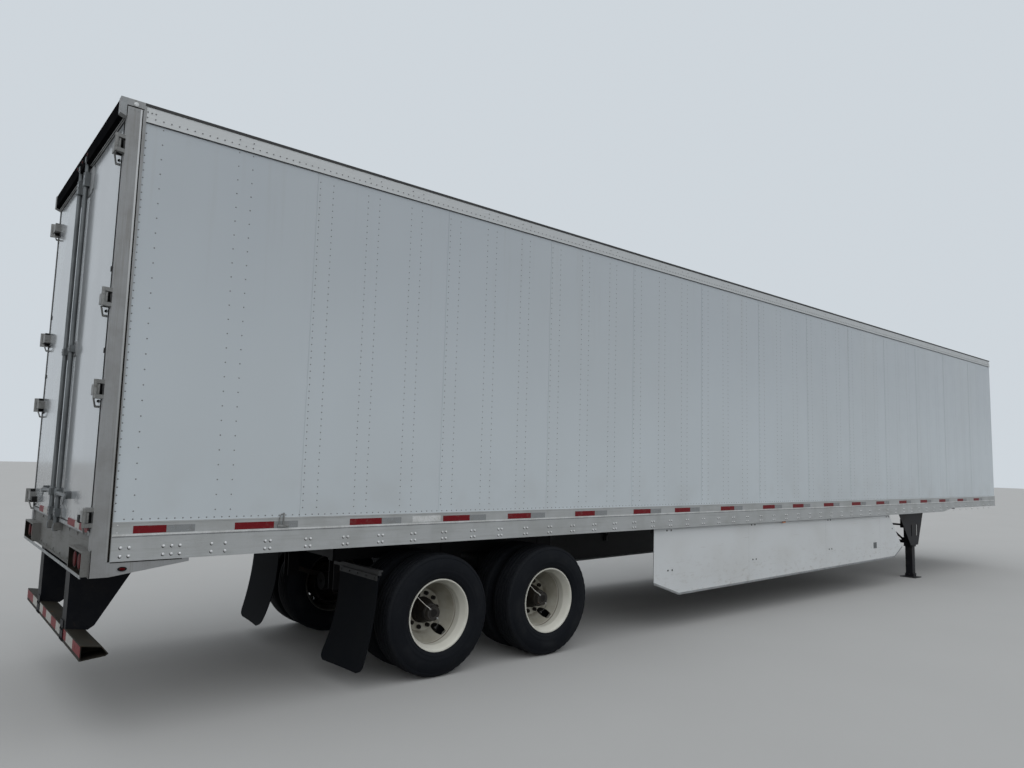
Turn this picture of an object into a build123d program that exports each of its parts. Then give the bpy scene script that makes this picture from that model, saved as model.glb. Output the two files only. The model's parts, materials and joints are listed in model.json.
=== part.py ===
from build123d import *
import os

# Sizes are in millimetres. A station is a distance forward from the rear face of the body,
# a height is counted from the ground and a reach sideways from the centre line.

# The whole body
body_length = 16154.0
body_width = 2600.0
body_height = 4115.0
half_width = body_width / 2

# Clearances
running_gap = 0.3  # pins in knuckles, spindles in hubs, slides
door_gap = 8.0  # round each door
rod_gap = 7.0  # lock rod to the pocket that it swings out of
eye_gap = 1.0  # between the leaves of a hinge

# Rails and walls
rail_bead = 3.0
rail_web = 6.0
wall_thickness = 43.0
deck_top = 1290.0
deck_thickness = 35.0
roof_sheet = 5.0
rail_outer = half_width - rail_bead
wall_outer = rail_outer - rail_web
deck_bottom = deck_top - deck_thickness
roof_bottom = body_height - roof_sheet

# Bottom rail, with a step up to the nose
bottom_rail_drop = 178.0  # below the top of the deck
bottom_rail_rise = 69.0  # above it
bottom_rail_flange = 50.0
foot_bead = 12.0
lip_drop = 21.0
lip_width = 13.0
top_bead = 9.0
step_rise = 56.0
step_setback = 2674.0
step_length = 430.0
bottom_rail_foot = deck_top - bottom_rail_drop
bottom_rail_top = deck_top + bottom_rail_rise
lip_low = deck_top - lip_drop
lip_high = lip_low + lip_width
front_foot = bottom_rail_foot + step_rise
step_start = body_length - step_setback
step_end = step_start + step_length

# Top rail and roof
top_rail_depth = 130.0
top_rail_flange = 91.0
nose_radius = 110.0
bow_pitch = 609.6
bow_width = 40.0
bow_depth = 30.0
top_rail_foot = body_height - top_rail_depth

# Front wall
front_thickness = 45.0
front_wall_face = body_length - rail_bead - rail_web
front_wall_inner = front_wall_face - front_thickness
nose_start = front_wall_face - nose_radius

# Side panels
first_seam = 1390.0
seam_pitch = 1230.5
seam_width = 8.0
seam_depth = 2.0
seam_count = int((nose_start - first_seam) // seam_pitch) + 1

# Crossmembers, and the coupler ahead of them
beam_depth = 102.0
beam_flange = 60.0
beam_web = 5.0
beam_plate = 6.0
beam_pitch = 304.8
first_beam = 300.0
coupler_setback = 64.0
coupler_length = 1890.0
coupler_drop = 100.0
coupler_plate_thickness = 10.0
coupler_half_width = 640.0
coupler_channel = 60.0
coupler_channels = 7
beam_bottom = deck_bottom - beam_depth
coupler_front = body_length - coupler_setback
coupler_rear = coupler_front - coupler_length
coupler_bottom = deck_bottom - coupler_drop

# Kingpin
kingpin_setback = 914.0
kingpin_drop = 84.0
kingpin_head_radius = 35.7
kingpin_neck_radius = 25.4
kingpin_head = 18.0
kingpin_neck = 34.0
kingpin_flange_radius = 90.0
kingpin_station = body_length - kingpin_setback

# Rear frame
post_rear, post_front = 45.0, 157.0
post_width = 55.0
jamb_width = 20.0
lip_rise = 19.0
cap_proud = 4.0
sill_depth = 270.0
sill_web_rear = 62.0
sill_plate = 8.0
sill_flange = 10.0
foot_plate_front = 630.0
foot_plate_thickness = 6.0
foot_plate_tip = 22.0
header_bottom = top_rail_foot
lip_bottom = header_bottom + lip_rise
sill_bottom = deck_top - sill_depth
opening_half = half_width - post_width
jamb_half = opening_half - jamb_width

# Lamp boxes on the sill
box_margin = 10.0
box_width = 440.0
box_height = 152.0
box_wall = 10.0
box_recess = 30.0
box_outer = half_width - box_margin
box_inner = box_outer - box_width
box_low = sill_bottom + box_margin
box_high = box_low + box_height

# Doors
door_thickness = 38.0
door_rear = post_rear
door_front = door_rear + door_thickness
door_inner = door_gap / 2
door_outer = opening_half - door_gap
door_low = deck_top + door_gap
door_high = header_bottom - door_gap

# Hinges, the lower ones placed from the deck and the top one from the header
hinge_rises = (100.0, 900.0, 1490.0)
top_hinge_drop = 185.0
hinge_height = 120.0
hinge_ear = 25.0
hinge_behind = 50.0
hinge_outside = 2.0
pin_radius = 6.0
knuckle_radius = 12.0
strap_thickness = 8.0
strap_foot = 72.0
strap_margin = 23.0
strap_foot_outer = opening_half - strap_margin
strap_foot_inner = strap_foot_outer - strap_foot
hinge_heights = [deck_top + rise for rise in hinge_rises] + [header_bottom - top_hinge_drop]
pin_station = post_rear - hinge_behind
pin_reach = half_width + hinge_outside

# Lock rods, from the keepers on the sill up into the header
rod_reach = 130.0
rod_radius = 17.0
rod_standoff = 25.0
rod_rise = 75.0
rod_tip = 7.0
cam_height = 40.0
cam_width = 40.0
guide_reach = 43.0
guide_width = 74.0
handle_rise = 195.0
handle_length = 400.0
handle_bar = 26.0
handle_thickness = 12.0
keeper_cheek = 9.0
keeper_drop = 78.0
keeper_height = 56.0
top_guide_drop, top_guide_length = 105.0, 110.0
middle_guide_rise, middle_guide_length = 1270.0, 50.0
low_guide_rise, low_guide_length = 50.0, 60.0
keeper_low = deck_top - keeper_drop
keeper_high = keeper_low + keeper_height
rod_low = keeper_low - rod_tip
rod_high = header_bottom + rod_rise
rod_station = door_rear - rod_standoff
pocket_half = cam_width / 2 + rod_gap
handle_height = deck_top + handle_rise
guides = (  # height, length
    (header_bottom - top_guide_drop, top_guide_length),
    (deck_top + middle_guide_rise, middle_guide_length),
    (deck_top + low_guide_rise, low_guide_length),
)

# Impact guard
guard_rear = 55.0
guard_depth = 120.0
guard_low, guard_high = 500.0, 600.0
guard_margin = 113.0
guard_wall = 6.0
strut_inner, strut_outer = 500.0, 650.0
strut_wall = 8.0
strut_toe, strut_top = 228.0, 563.0
guard_half = half_width - guard_margin

# Lamps
lamp_depth = 8.0
tail_lamp_radius = 50.0
tail_lamp_margins = (170.0, 320.0)
small_lamp_radius = 16.0
side_lamp_station, side_lamp_rise = 230.0, 46.0
side_lamp_length, side_lamp_width = 50.0, 26.0
middle_lamp_ahead = 43.0
middle_lamp_length, middle_lamp_height = 70.0, 17.0
cap_lamp_station, cap_lamp_rise = 91.0, 99.0
name_lamps = (-200.0, 0.0, 200.0)
cap_lamp_height = header_bottom + cap_lamp_rise
middle_lamp_station = body_length / 2 + middle_lamp_ahead

# Tandem, with its slide under the body
tandem_station = 3313.5
axle_spacing = 1249.0
tyre_radius = 505.0
tyre_width = 284.0
wheel_margin = 316.0
dual_spacing = 343.0
slide_travel = 914.4
spring_reach = 480.0
frame_rail_width = 80.0
frame_rail_high = 130.0
slider_depth = 120.0
slider_plate = 8.0
slider_margin = 60.0
pin_hole_radius = 13.0
pin_hole_pitch = 152.4
frame_behind, frame_ahead = 629.0, 702.0
cross_behind, cross_between, cross_ahead = 509.0, 211.0, 582.0
cross_tube = 90.0
spring_half = 560.0
spring_eye_rise = 210.0
spring_pack = 42.0
hanger_plate = 8.0
hanger_length = 110.0
equaliser_length = 240.0
hanger_drop = 65.0
axle_radius = 63.5
spindle_radius = 40.0
axle_end = 116.0
spring_seat = 130.0
chamber_radius = 85.0
chamber_length = 170.0
chamber_reach = 320.0
chamber_behind = 150.0
cam_tube_radius = 18.0
rear_axle = tandem_station - axle_spacing / 2
front_axle = tandem_station + axle_spacing / 2
axle_height = tyre_radius
track_centre = half_width - wheel_margin
axle_half = track_centre - axle_end
spring_eye_height = axle_height + spring_eye_rise
hanger_low = spring_eye_height - hanger_drop
frame_rear = rear_axle - frame_behind
frame_front = front_axle + frame_ahead
frame_cross = (
    rear_axle - cross_behind,
    rear_axle + cross_between,
    front_axle - cross_between,
    front_axle + cross_ahead,
)
rail_inner = spring_reach - frame_rail_width / 2
rail_out = spring_reach + frame_rail_width / 2
slider_low = beam_bottom - slider_depth
frame_high = slider_low - running_gap
frame_low = frame_high - frame_rail_high

# Wheels
bead_radius = 286.0
flange_radius = 298.5
flange_reach = 117.0
flange_thickness = 10.0
rim_wall = 8.0
well_radius = 264.0
well_reach = 45.0
disc_thickness = 11.0
centre_bore = 110.0
disc_flat = 178.0
disc_reach = 150.0
hand_hole_radius = 41.0
hand_hole_circle = 214.0
hand_holes = 2
hand_hole_tilt = 39.0
nut_circle = 142.875
nut_count = 10
nut_tilt = 23.0
nut_radius = 19.0
nut_height = 27.0
drum_radius = 210.0
drum_wall = 12.0
drum_slope = 80.0
drum_depth = 284.0
hub_shoulder = 56.0
hub_length = 150.0
hub_nose_radius = 74.0
hub_cap_length = 46.0
hub_cap_radius = 63.0
shoulder_radius = 22.0
tread_half = 112.0
drum_inner = track_centre - drum_depth
hub_face = track_centre + hub_length

# Mud flaps, hung behind the rear axle
flap_drop = 24.0
flap_bottom = 140.0
flap_top_behind, flap_bottom_behind = 604.0, 754.0
flap_margin = 2.0
flap_width = 640.0
flap_thickness = 8.0
hanger_bar = 26.0
flap_top = frame_low - flap_drop
flap_top_station = rear_axle - flap_top_behind
flap_bottom_station = rear_axle - flap_bottom_behind
flap_outer = half_width - flap_margin
flap_inner = flap_outer - flap_width

# Landing gear
leg_setback = 3464.0
leg_margin = 270.0
leg_tube = 140.0
leg_inner_tube = 112.0
leg_tube_low = 520.0
foot_size = 254.0
foot_plate = 12.0
foot_hub_height = 66.0
wing_behind, wing_ahead = 640.0, 410.0
wing_toe = 150.0
wing_low = 550.0
wing_thickness = 8.0
wing_slot_low, wing_slot_high = 700.0, 900.0
wing_slot_width = 34.0
wing_slot_offset = 112.0
shaft_radius = 16.0
shaft_height = 880.0
brace_width = 50.0
crank_margin = 70.0
crank_drop = 300.0
crank_bar = 12.0
leg_station = body_length - leg_setback
leg_reach = half_width - leg_margin
crank_reach = half_width - crank_margin

# Side skirts, from the tandem to the landing gear
skirt_margin = 44.0
skirt_thickness = 6.0
skirt_rear = 5500.0
skirt_to_leg = 1330.0
skirt_rear_foot, skirt_low = 512.0, 365.0
skirt_toe_foot, skirt_tip_height = 432.0, 577.0
skirt_rear_cut, skirt_toe, skirt_tip = 440.0, 170.0, 470.0
bracket_low = 640.0
bracket_width = 40.0
bracket_inner = 900.0
rear_brackets = (280.0, 1930.0)
front_brackets = (1920.0, 260.0)
skirt_front = leg_station - skirt_to_leg
skirt_outer = half_width - skirt_margin
skirt_outline = (  # station, height
    (skirt_rear, bottom_rail_foot),
    (skirt_rear, skirt_rear_foot),
    (skirt_rear + skirt_rear_cut, skirt_low),
    (skirt_front + skirt_toe, skirt_toe_foot),
    (skirt_front + skirt_tip, skirt_tip_height),
    (skirt_front, bottom_rail_foot),
)
skirt_brackets_at = [skirt_rear + ahead for ahead in rear_brackets]
skirt_brackets_at += [skirt_front - behind for behind in front_brackets]

# Couplings on the nose
coupling_rise = 170.0
coupling_reaches = (-330.0, 330.0)
coupling_plate = 10.0
coupling_neck = 40.0
coupling_body = 22.0
socket_size = 80.0
coupling_height = deck_top + coupling_rise

# What stands past the body's two ends, and the frame's middle between them
rear_reach = knuckle_radius - pin_station
nose_reach = front_wall_face + coupling_plate + coupling_neck + coupling_body - body_length
middle_station = (body_length + nose_reach - rear_reach) / 2


def x_at(station):
    return station - middle_station


def block(stations, reaches, heights, mode=Mode.ADD):
    # A box between two stations, two reaches and two heights
    (s0, s1), (y0, y1), (z0, z1) = stations, reaches, heights
    with Locations((x_at((s0 + s1) / 2), (y0 + y1) / 2, (z0 + z1) / 2)):
        Box(s1 - s0, y1 - y0, z1 - z0, mode=mode)


def side_plane(reach):
    # Looks at the body from outside: x runs forward, y up, and an extrusion goes inboard
    return Plane(origin=(0, reach, 0), x_dir=(1, 0, 0), z_dir=(0, -1, 0))


def outline(points):
    # A flat outline of station and height pairs
    Polygon(*[(x_at(s), z) for s, z in points])


def bar(start, end, width):
    # A square bar from one point to another
    direction = Vector(*end) - Vector(*start)
    with BuildSketch(Plane(origin=start, z_dir=direction)) as section:
        Rectangle(width, width)
    extrude(section.sketch, amount=direction.length)


def save(piece, label):
    piece.label = label
    export_step(piece, f"parts/{label}.step")


os.makedirs("parts", exist_ok=True)

# Side walls, one the mirror of the other, each a sheet with its panel seams
with BuildPart() as side_wall_left:
    with BuildSketch(side_plane(wall_outer)):
        with BuildLine():
            Polyline(
                (x_at(nose_start), body_height - front_thickness),
                (x_at(nose_start), roof_bottom - rail_web),
                (x_at(post_front), roof_bottom - rail_web),
                (x_at(post_front), deck_top),
                (x_at(front_wall_inner), deck_top),
                (x_at(front_wall_inner), body_height - nose_radius),
            )
            RadiusArc(
                (x_at(front_wall_inner), body_height - nose_radius),
                (x_at(nose_start), body_height - front_thickness),
                -(nose_radius - front_thickness),
            )
        make_face()
    extrude(amount=wall_thickness)
    with BuildSketch(side_plane(wall_outer)):
        seams_middle = x_at(first_seam + (seam_count - 1) * seam_pitch / 2)
        with Locations((seams_middle, (bottom_rail_top + top_rail_foot) / 2)):
            with GridLocations(seam_pitch, 1, seam_count, 1):
                Rectangle(seam_width, top_rail_foot - bottom_rail_top)
    extrude(amount=seam_depth, mode=Mode.SUBTRACT)
save(side_wall_left.part, "side_wall_left")

with BuildPart() as side_wall_right:
    add(side_wall_left.part.mirror(Plane.XZ))
save(side_wall_right.part, "side_wall_right")

# Front wall, curved back at its top into the roof
with BuildPart() as front_wall:
    with BuildSketch(side_plane(wall_outer)):
        with BuildLine():
            RadiusArc(
                (x_at(front_wall_face), body_height - nose_radius),
                (x_at(nose_start), body_height),
                -nose_radius,
            )
            RadiusArc(
                (x_at(front_wall_inner), body_height - nose_radius),
                (x_at(nose_start), body_height - front_thickness),
                -(nose_radius - front_thickness),
            )
            Line((x_at(nose_start), body_height), (x_at(nose_start), body_height - front_thickness))
            Polyline(
                (x_at(front_wall_inner), body_height - nose_radius),
                (x_at(front_wall_inner), deck_top),
                (x_at(front_wall_face), deck_top),
                (x_at(front_wall_face), body_height - nose_radius),
            )
        make_face()
    extrude(amount=2 * wall_outer)
save(front_wall.part, "front_wall")

# Front bottom rail
with BuildPart() as front_rail:
    across = (-wall_outer, wall_outer)
    block((front_wall_face, body_length - rail_bead), across, (front_foot, bottom_rail_top))
    for low, high in (
        (front_foot, front_foot + foot_bead),
        (lip_low, lip_high),
        (bottom_rail_top - top_bead, bottom_rail_top),
    ):
        block((body_length - rail_bead, body_length), across, (low, high))
save(front_rail.part, "front_rail")

# Roof sheet on its bows
with BuildPart() as roof:
    block((post_front, nose_start), (-wall_outer, wall_outer), (roof_bottom, body_height))
    bow_half = wall_outer - top_rail_flange
    bow_count = int((nose_start - post_front) // bow_pitch)
    with BuildSketch(side_plane(bow_half)):
        with Locations((x_at(post_front + (bow_count + 1) * bow_pitch / 2), roof_bottom - bow_depth / 2)):
            with GridLocations(bow_pitch, 1, bow_count, 1):
                Rectangle(bow_width, bow_depth)
    extrude(amount=2 * bow_half)
save(roof.part, "roof")

# Floor deck
with BuildPart() as floor_deck:
    block((post_front, front_wall_face), (-wall_outer, wall_outer), (deck_bottom, deck_top))
save(floor_deck.part, "floor_deck")

# Crossmembers, rolled beams up to the coupler
beam_count = int((coupler_rear - beam_flange - first_beam) // beam_pitch) + 1
beam_middle = x_at(first_beam + (beam_count - 1) * beam_pitch / 2)
beam_rows = (  # width, middle height, depth
    (beam_flange, deck_bottom - beam_plate / 2, beam_plate),
    (beam_web, deck_bottom - beam_depth / 2, beam_depth),
    (beam_flange, beam_bottom + beam_plate / 2, beam_plate),
)
with BuildPart() as crossmembers:
    with BuildSketch(side_plane(wall_outer)):
        for width, middle, depth in beam_rows:
            with Locations((beam_middle, middle)):
                with GridLocations(beam_pitch, 1, beam_count, 1):
                    Rectangle(width, depth)
    extrude(amount=2 * wall_outer)
save(crossmembers.part, "crossmembers")

# Bottom rails, with three beads, stepped up at the nose
with BuildPart() as bottom_rails:
    with BuildSketch(Plane.YZ.offset(x_at(post_front))):
        Polygon(
            (wall_outer, bottom_rail_top),
            (half_width, bottom_rail_top),
            (half_width, bottom_rail_top - top_bead),
            (rail_outer, bottom_rail_top - top_bead),
            (rail_outer, lip_high),
            (half_width, lip_high),
            (half_width, lip_low),
            (rail_outer, lip_low),
            (rail_outer, bottom_rail_foot + foot_bead),
            (half_width, bottom_rail_foot + foot_bead),
            (half_width, bottom_rail_foot),
            (half_width - bottom_rail_flange, bottom_rail_foot),
            (half_width - bottom_rail_flange, bottom_rail_foot + rail_web),
            (wall_outer, bottom_rail_foot + rail_web),
        )
    extrude(amount=body_length - post_front)
    with BuildSketch(side_plane(half_width)):
        outline(
            (
                (step_start, bottom_rail_foot),
                (step_end, front_foot),
                (body_length, front_foot),
                (body_length, bottom_rail_foot),
            )
        )
    extrude(amount=bottom_rail_flange, mode=Mode.SUBTRACT)
    mirror(about=Plane.XZ)
save(bottom_rails.part, "bottom_rails")

# Top rails, their webs rounded at the nose and their flanges under the roof
with BuildPart() as top_rails:
    with BuildSketch(side_plane(half_width)):
        with BuildLine():
            Polyline(
                (x_at(nose_start), body_height),
                (x_at(post_front), body_height),
                (x_at(post_front), top_rail_foot),
                (x_at(front_wall_face), top_rail_foot),
                (x_at(front_wall_face), body_height - nose_radius),
            )
            RadiusArc(
                (x_at(front_wall_face), body_height - nose_radius),
                (x_at(nose_start), body_height),
                -nose_radius,
            )
        make_face()
    extrude(amount=half_width - wall_outer)
    block(
        (post_front, nose_start),
        (rail_outer, half_width),
        (top_rail_foot + foot_bead, body_height - foot_bead),
        mode=Mode.SUBTRACT,
    )
    flange = (wall_outer - top_rail_flange, wall_outer)
    block((post_front, nose_start), flange, (roof_bottom - rail_web, roof_bottom))
    mirror(about=Plane.XZ)
save(top_rails.part, "top_rails")

# Rear posts with their jambs, top caps and foot plates
with BuildPart() as rear_posts:
    with BuildSketch(Plane.XY.offset(sill_bottom)):
        Polygon(
            (x_at(post_rear), jamb_half),
            (x_at(post_front), jamb_half),
            (x_at(post_front), half_width),
            (x_at(post_rear), half_width),
        )
    extrude(amount=deck_top - sill_bottom)
    with BuildSketch(Plane.XY.offset(deck_top)):
        Polygon(
            (x_at(post_rear), opening_half),
            (x_at(door_front + door_gap), opening_half),
            (x_at(door_front + door_gap), jamb_half),
            (x_at(post_front), jamb_half),
            (x_at(post_front), half_width),
            (x_at(post_rear), half_width),
        )
    extrude(amount=header_bottom - deck_top)
    with BuildSketch(side_plane(half_width)):
        outline(
            (
                (0.0, body_height),
                (post_front, body_height),
                (post_front, header_bottom),
                (post_rear, header_bottom),
                (0.0, lip_bottom),
            )
        )
    extrude(amount=post_width)
    with BuildSketch(side_plane(rail_outer)):
        outline(
            (
                (post_front, sill_bottom),
                (post_front, bottom_rail_foot),
                (foot_plate_front, bottom_rail_foot),
                (foot_plate_front, bottom_rail_foot - foot_plate_tip),
            )
        )
    extrude(amount=foot_plate_thickness)
    mirror(about=Plane.XZ)
save(rear_posts.part, "rear_posts")

# Hinge butts: two ears and a pin for each hinge
with BuildPart() as hinge_butts:
    for height in hinge_heights:
        low = height - hinge_height / 2
        for ear_low in (low, low + hinge_height - hinge_ear):
            with BuildSketch(Plane.XY.offset(ear_low)):
                Polygon(
                    (x_at(post_rear), half_width - post_width + knuckle_radius),
                    (x_at(post_rear), half_width),
                    (x_at(pin_station), pin_reach + knuckle_radius),
                    (x_at(pin_station), pin_reach - knuckle_radius),
                )
                with Locations((x_at(pin_station), pin_reach)):
                    Circle(knuckle_radius)
            extrude(amount=hinge_ear)
        with Locations((x_at(pin_station), pin_reach, height)):
            Cylinder(pin_radius, hinge_height)
    mirror(about=Plane.XZ)
save(hinge_butts.part, "hinge_butts")

# Rear header, with pockets that take the tops of the lock rods
with BuildPart() as rear_header:
    with BuildSketch(side_plane(opening_half)):
        outline(
            (
                (cap_proud, body_height),
                (post_front, body_height),
                (post_front, header_bottom),
                (post_rear, header_bottom),
                (cap_proud, lip_bottom),
            )
        )
    extrude(amount=2 * opening_half)
    for side in (-1, 1):
        centre = side * rod_reach
        block(
            (0.0, rod_station + cam_width / 2 + rod_gap),
            (centre - pocket_half, centre + pocket_half),
            (header_bottom, rod_high + rod_gap),
            mode=Mode.SUBTRACT,
        )
save(rear_header.part, "rear_header")

# Rear sill: a channel with the threshold on top, lamp boxes at its ends and rod keepers
with BuildPart() as rear_sill:
    reach = (-jamb_half, jamb_half)
    block((sill_web_rear, sill_web_rear + sill_plate), reach, (sill_bottom, deck_top))
    block((post_rear, post_front), reach, (deck_top - sill_flange, deck_top))
    block((post_rear, post_front), reach, (sill_bottom, sill_bottom + sill_flange))
    for side in (-1, 1):
        for cheek in (rod_reach - pocket_half, rod_reach + pocket_half + keeper_cheek):
            block(
                (cap_proud, sill_web_rear),
                tuple(sorted((side * (cheek - keeper_cheek), side * cheek))),
                (keeper_low, keeper_high),
            )
        with BuildSketch(Plane.XY.offset(box_low)):
            Polygon(
                (x_at(0.0), side * box_inner),
                (x_at(0.0), side * box_outer),
                (x_at(post_rear), side * box_outer),
                (x_at(post_rear), side * jamb_half),
                (x_at(sill_web_rear), side * jamb_half),
                (x_at(sill_web_rear), side * box_inner),
            )
        extrude(amount=box_high - box_low)
        block(
            (0.0, box_recess),
            tuple(sorted((side * (box_inner + box_wall), side * (box_outer - box_wall)))),
            (box_low + box_wall, box_high - box_wall),
            mode=Mode.SUBTRACT,
        )
save(rear_sill.part, "rear_sill")

# Impact guard: an open ended tube under the sill, on two tapered struts
with BuildPart() as impact_guard:
    block((guard_rear, guard_rear + guard_depth), (-guard_half, guard_half), (guard_low, guard_high))
    block(
        (guard_rear + guard_wall, guard_rear + guard_depth - guard_wall),
        (-guard_half, guard_half),
        (guard_low + guard_wall, guard_high - guard_wall),
        mode=Mode.SUBTRACT,
    )
save(impact_guard.part, "impact_guard")

with BuildPart() as guard_struts:
    for outer in (strut_outer, strut_inner + strut_wall):
        with BuildSketch(side_plane(outer)):
            outline(
                (
                    (guard_rear, guard_high),
                    (guard_rear, sill_bottom),
                    (post_front, sill_bottom),
                    (post_front, beam_bottom),
                    (strut_top, beam_bottom),
                    (strut_toe, guard_high),
                )
            )
        extrude(amount=strut_wall)
    block((guard_rear, guard_rear + strut_wall), (strut_inner, strut_outer), (guard_high, sill_bottom))
    mirror(about=Plane.XZ)
save(guard_struts.part, "guard_struts")

# Lamps: tail lamps in the boxes, side lamps, cap lamps and three on the header
with BuildPart() as lamps:
    for margin in tail_lamp_margins:
        with BuildSketch(Plane.YZ.offset(x_at(box_recess - 2 * lamp_depth))):
            with Locations((half_width - margin, (box_low + box_high) / 2)):
                Circle(tail_lamp_radius)
        extrude(amount=2 * lamp_depth)
    with BuildSketch(side_plane(rail_outer + lamp_depth)):
        with Locations((x_at(side_lamp_station), sill_bottom + side_lamp_rise)):
            Ellipse(side_lamp_length / 2, side_lamp_width / 2)
    extrude(amount=lamp_depth)
    with BuildSketch(side_plane(half_width + lamp_depth)):
        with Locations((x_at(cap_lamp_station), cap_lamp_height)):
            Circle(small_lamp_radius)
    extrude(amount=lamp_depth)
    block(
        (middle_lamp_station - middle_lamp_length / 2, middle_lamp_station + middle_lamp_length / 2),
        (half_width - 2 * lamp_depth, half_width),
        (bottom_rail_foot - middle_lamp_height, bottom_rail_foot),
    )
    mirror(about=Plane.XZ)
    for reach in name_lamps:
        with BuildSketch(Plane.YZ.offset(x_at(cap_proud - lamp_depth))):
            with Locations((reach, cap_lamp_height)):
                Circle(small_lamp_radius)
        extrude(amount=lamp_depth)
save(lamps.part, "lamps")

# Doors: a panel, a lock rod with its guides and handle, and four hinge straps each
for name, side in (("right", -1), ("left", 1)):
    with BuildPart() as door_panel:
        block(
            (door_rear, door_front),
            tuple(sorted((side * door_inner, side * door_outer))),
            (door_low, door_high),
        )
    save(door_panel.part, f"{name}_door_panel")

    with BuildPart() as lock_rod:
        centre = side * rod_reach
        catch_start, catch_end = handle_length - guide_width, handle_length - guide_width / 2
        with Locations((x_at(rod_station), centre, (rod_low + rod_high) / 2)):
            Cylinder(rod_radius, rod_high - rod_low)
        for height in (keeper_low + cam_height / 2, rod_high - cam_height / 2):
            with Locations((x_at(rod_station), centre, height)):
                Box(cam_width, cam_width, cam_height)
        for height, length in guides:
            block(
                (door_rear - guide_reach, door_rear),
                (centre - guide_width / 2, centre + guide_width / 2),
                (height - length / 2, height + length / 2),
            )
        bar_rear = door_rear - guide_reach
        block(
            (bar_rear, door_rear),
            (centre - guide_width / 2, centre + guide_width / 2),
            (handle_height - handle_bar, handle_height + handle_bar),
        )
        block(
            (bar_rear, bar_rear + handle_thickness),
            tuple(sorted((centre, centre + side * handle_length))),
            (handle_height - handle_bar / 2, handle_height + handle_bar / 2),
        )
        block(
            (bar_rear, door_rear),
            tuple(sorted((centre + side * catch_start, centre + side * catch_end))),
            (handle_height - handle_bar, handle_height + handle_bar),
        )
    save(lock_rod.part, f"{name}_lock_rod")

    with BuildPart() as hinge_straps:
        strap_rear = pin_station + knuckle_radius - strap_thickness
        strap_front = pin_station + knuckle_radius
        strap_height = hinge_height - 2 * hinge_ear - 2 * eye_gap
        for height in hinge_heights:
            with BuildSketch(Plane.XY.offset(height - strap_height / 2)):
                Polygon(
                    (x_at(strap_rear), side * pin_reach),
                    (x_at(strap_rear), side * strap_foot_inner),
                    (x_at(door_rear), side * strap_foot_inner),
                    (x_at(door_rear), side * strap_foot_outer),
                    (x_at(strap_front), side * (strap_foot_outer + strap_thickness)),
                    (x_at(strap_front), side * pin_reach),
                )
                with Locations((x_at(pin_station), side * pin_reach)):
                    Circle(knuckle_radius)
                    Circle(pin_radius + running_gap, mode=Mode.SUBTRACT)
            extrude(amount=strap_height)
    save(hinge_straps.part, f"{name}_hinge_straps")

# Slider rails under the body, with a row of holes for the locking pins
slider_rear = frame_rear - slide_travel - slider_margin
slider_front = frame_front + slide_travel + slider_margin
with BuildPart() as slider_rails:
    block((slider_rear, slider_front), (rail_out - slider_plate, rail_out), (slider_low, beam_bottom))
    block((slider_rear, slider_front), (rail_inner, rail_out), (beam_bottom - slider_plate, beam_bottom))
    block((slider_rear, slider_front), (rail_inner, rail_out), (slider_low, slider_low + slider_plate))
    hole_count = int((slider_front - slider_rear - pin_hole_pitch) // pin_hole_pitch)
    with BuildSketch(side_plane(rail_out)):
        with Locations((x_at((slider_rear + slider_front) / 2), (slider_low + beam_bottom) / 2)):
            with GridLocations(pin_hole_pitch, 1, hole_count, 1):
                Circle(pin_hole_radius)
    extrude(amount=slider_plate, mode=Mode.SUBTRACT)
    mirror(about=Plane.XZ)
save(slider_rails.part, "slider_rails")

# Coupler: the plate over the tractor's turntable, on its own cross channels
with BuildPart() as coupler:
    block(
        (coupler_rear, coupler_front),
        (-coupler_half_width, coupler_half_width),
        (coupler_bottom, coupler_bottom + coupler_plate_thickness),
    )
    channel_pitch = (coupler_front - coupler_rear - coupler_channel) / (coupler_channels - 1)
    for number in range(coupler_channels):
        rear = coupler_rear + number * channel_pitch
        block(
            (rear, rear + coupler_channel),
            (-wall_outer, wall_outer),
            (front_foot, deck_bottom),
        )
        block(
            (rear, rear + coupler_channel),
            (-coupler_half_width, coupler_half_width),
            (coupler_bottom + coupler_plate_thickness, front_foot),
        )
save(coupler.part, "coupler")

with BuildPart() as kingpin:
    head_top = coupler_bottom - kingpin_drop + kingpin_head
    neck_top = head_top + kingpin_neck
    with BuildSketch(Plane.XZ):
        with BuildLine():
            Polyline(
                (0, coupler_bottom - kingpin_drop),
                (kingpin_head_radius, coupler_bottom - kingpin_drop),
                (kingpin_head_radius, head_top),
                (kingpin_neck_radius, head_top),
                (kingpin_neck_radius, neck_top),
                (kingpin_head_radius, neck_top),
                (kingpin_head_radius, coupler_bottom - coupler_plate_thickness),
                (kingpin_flange_radius, coupler_bottom - coupler_plate_thickness),
                (kingpin_flange_radius, coupler_bottom),
                (0, coupler_bottom),
                close=True,
            )
        make_face()
    revolve(axis=Axis.Z)
with BuildPart() as kingpin_placed:
    add(kingpin.part.moved(Location((x_at(kingpin_station), 0, 0))))
save(kingpin_placed.part, "kingpin")

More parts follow.
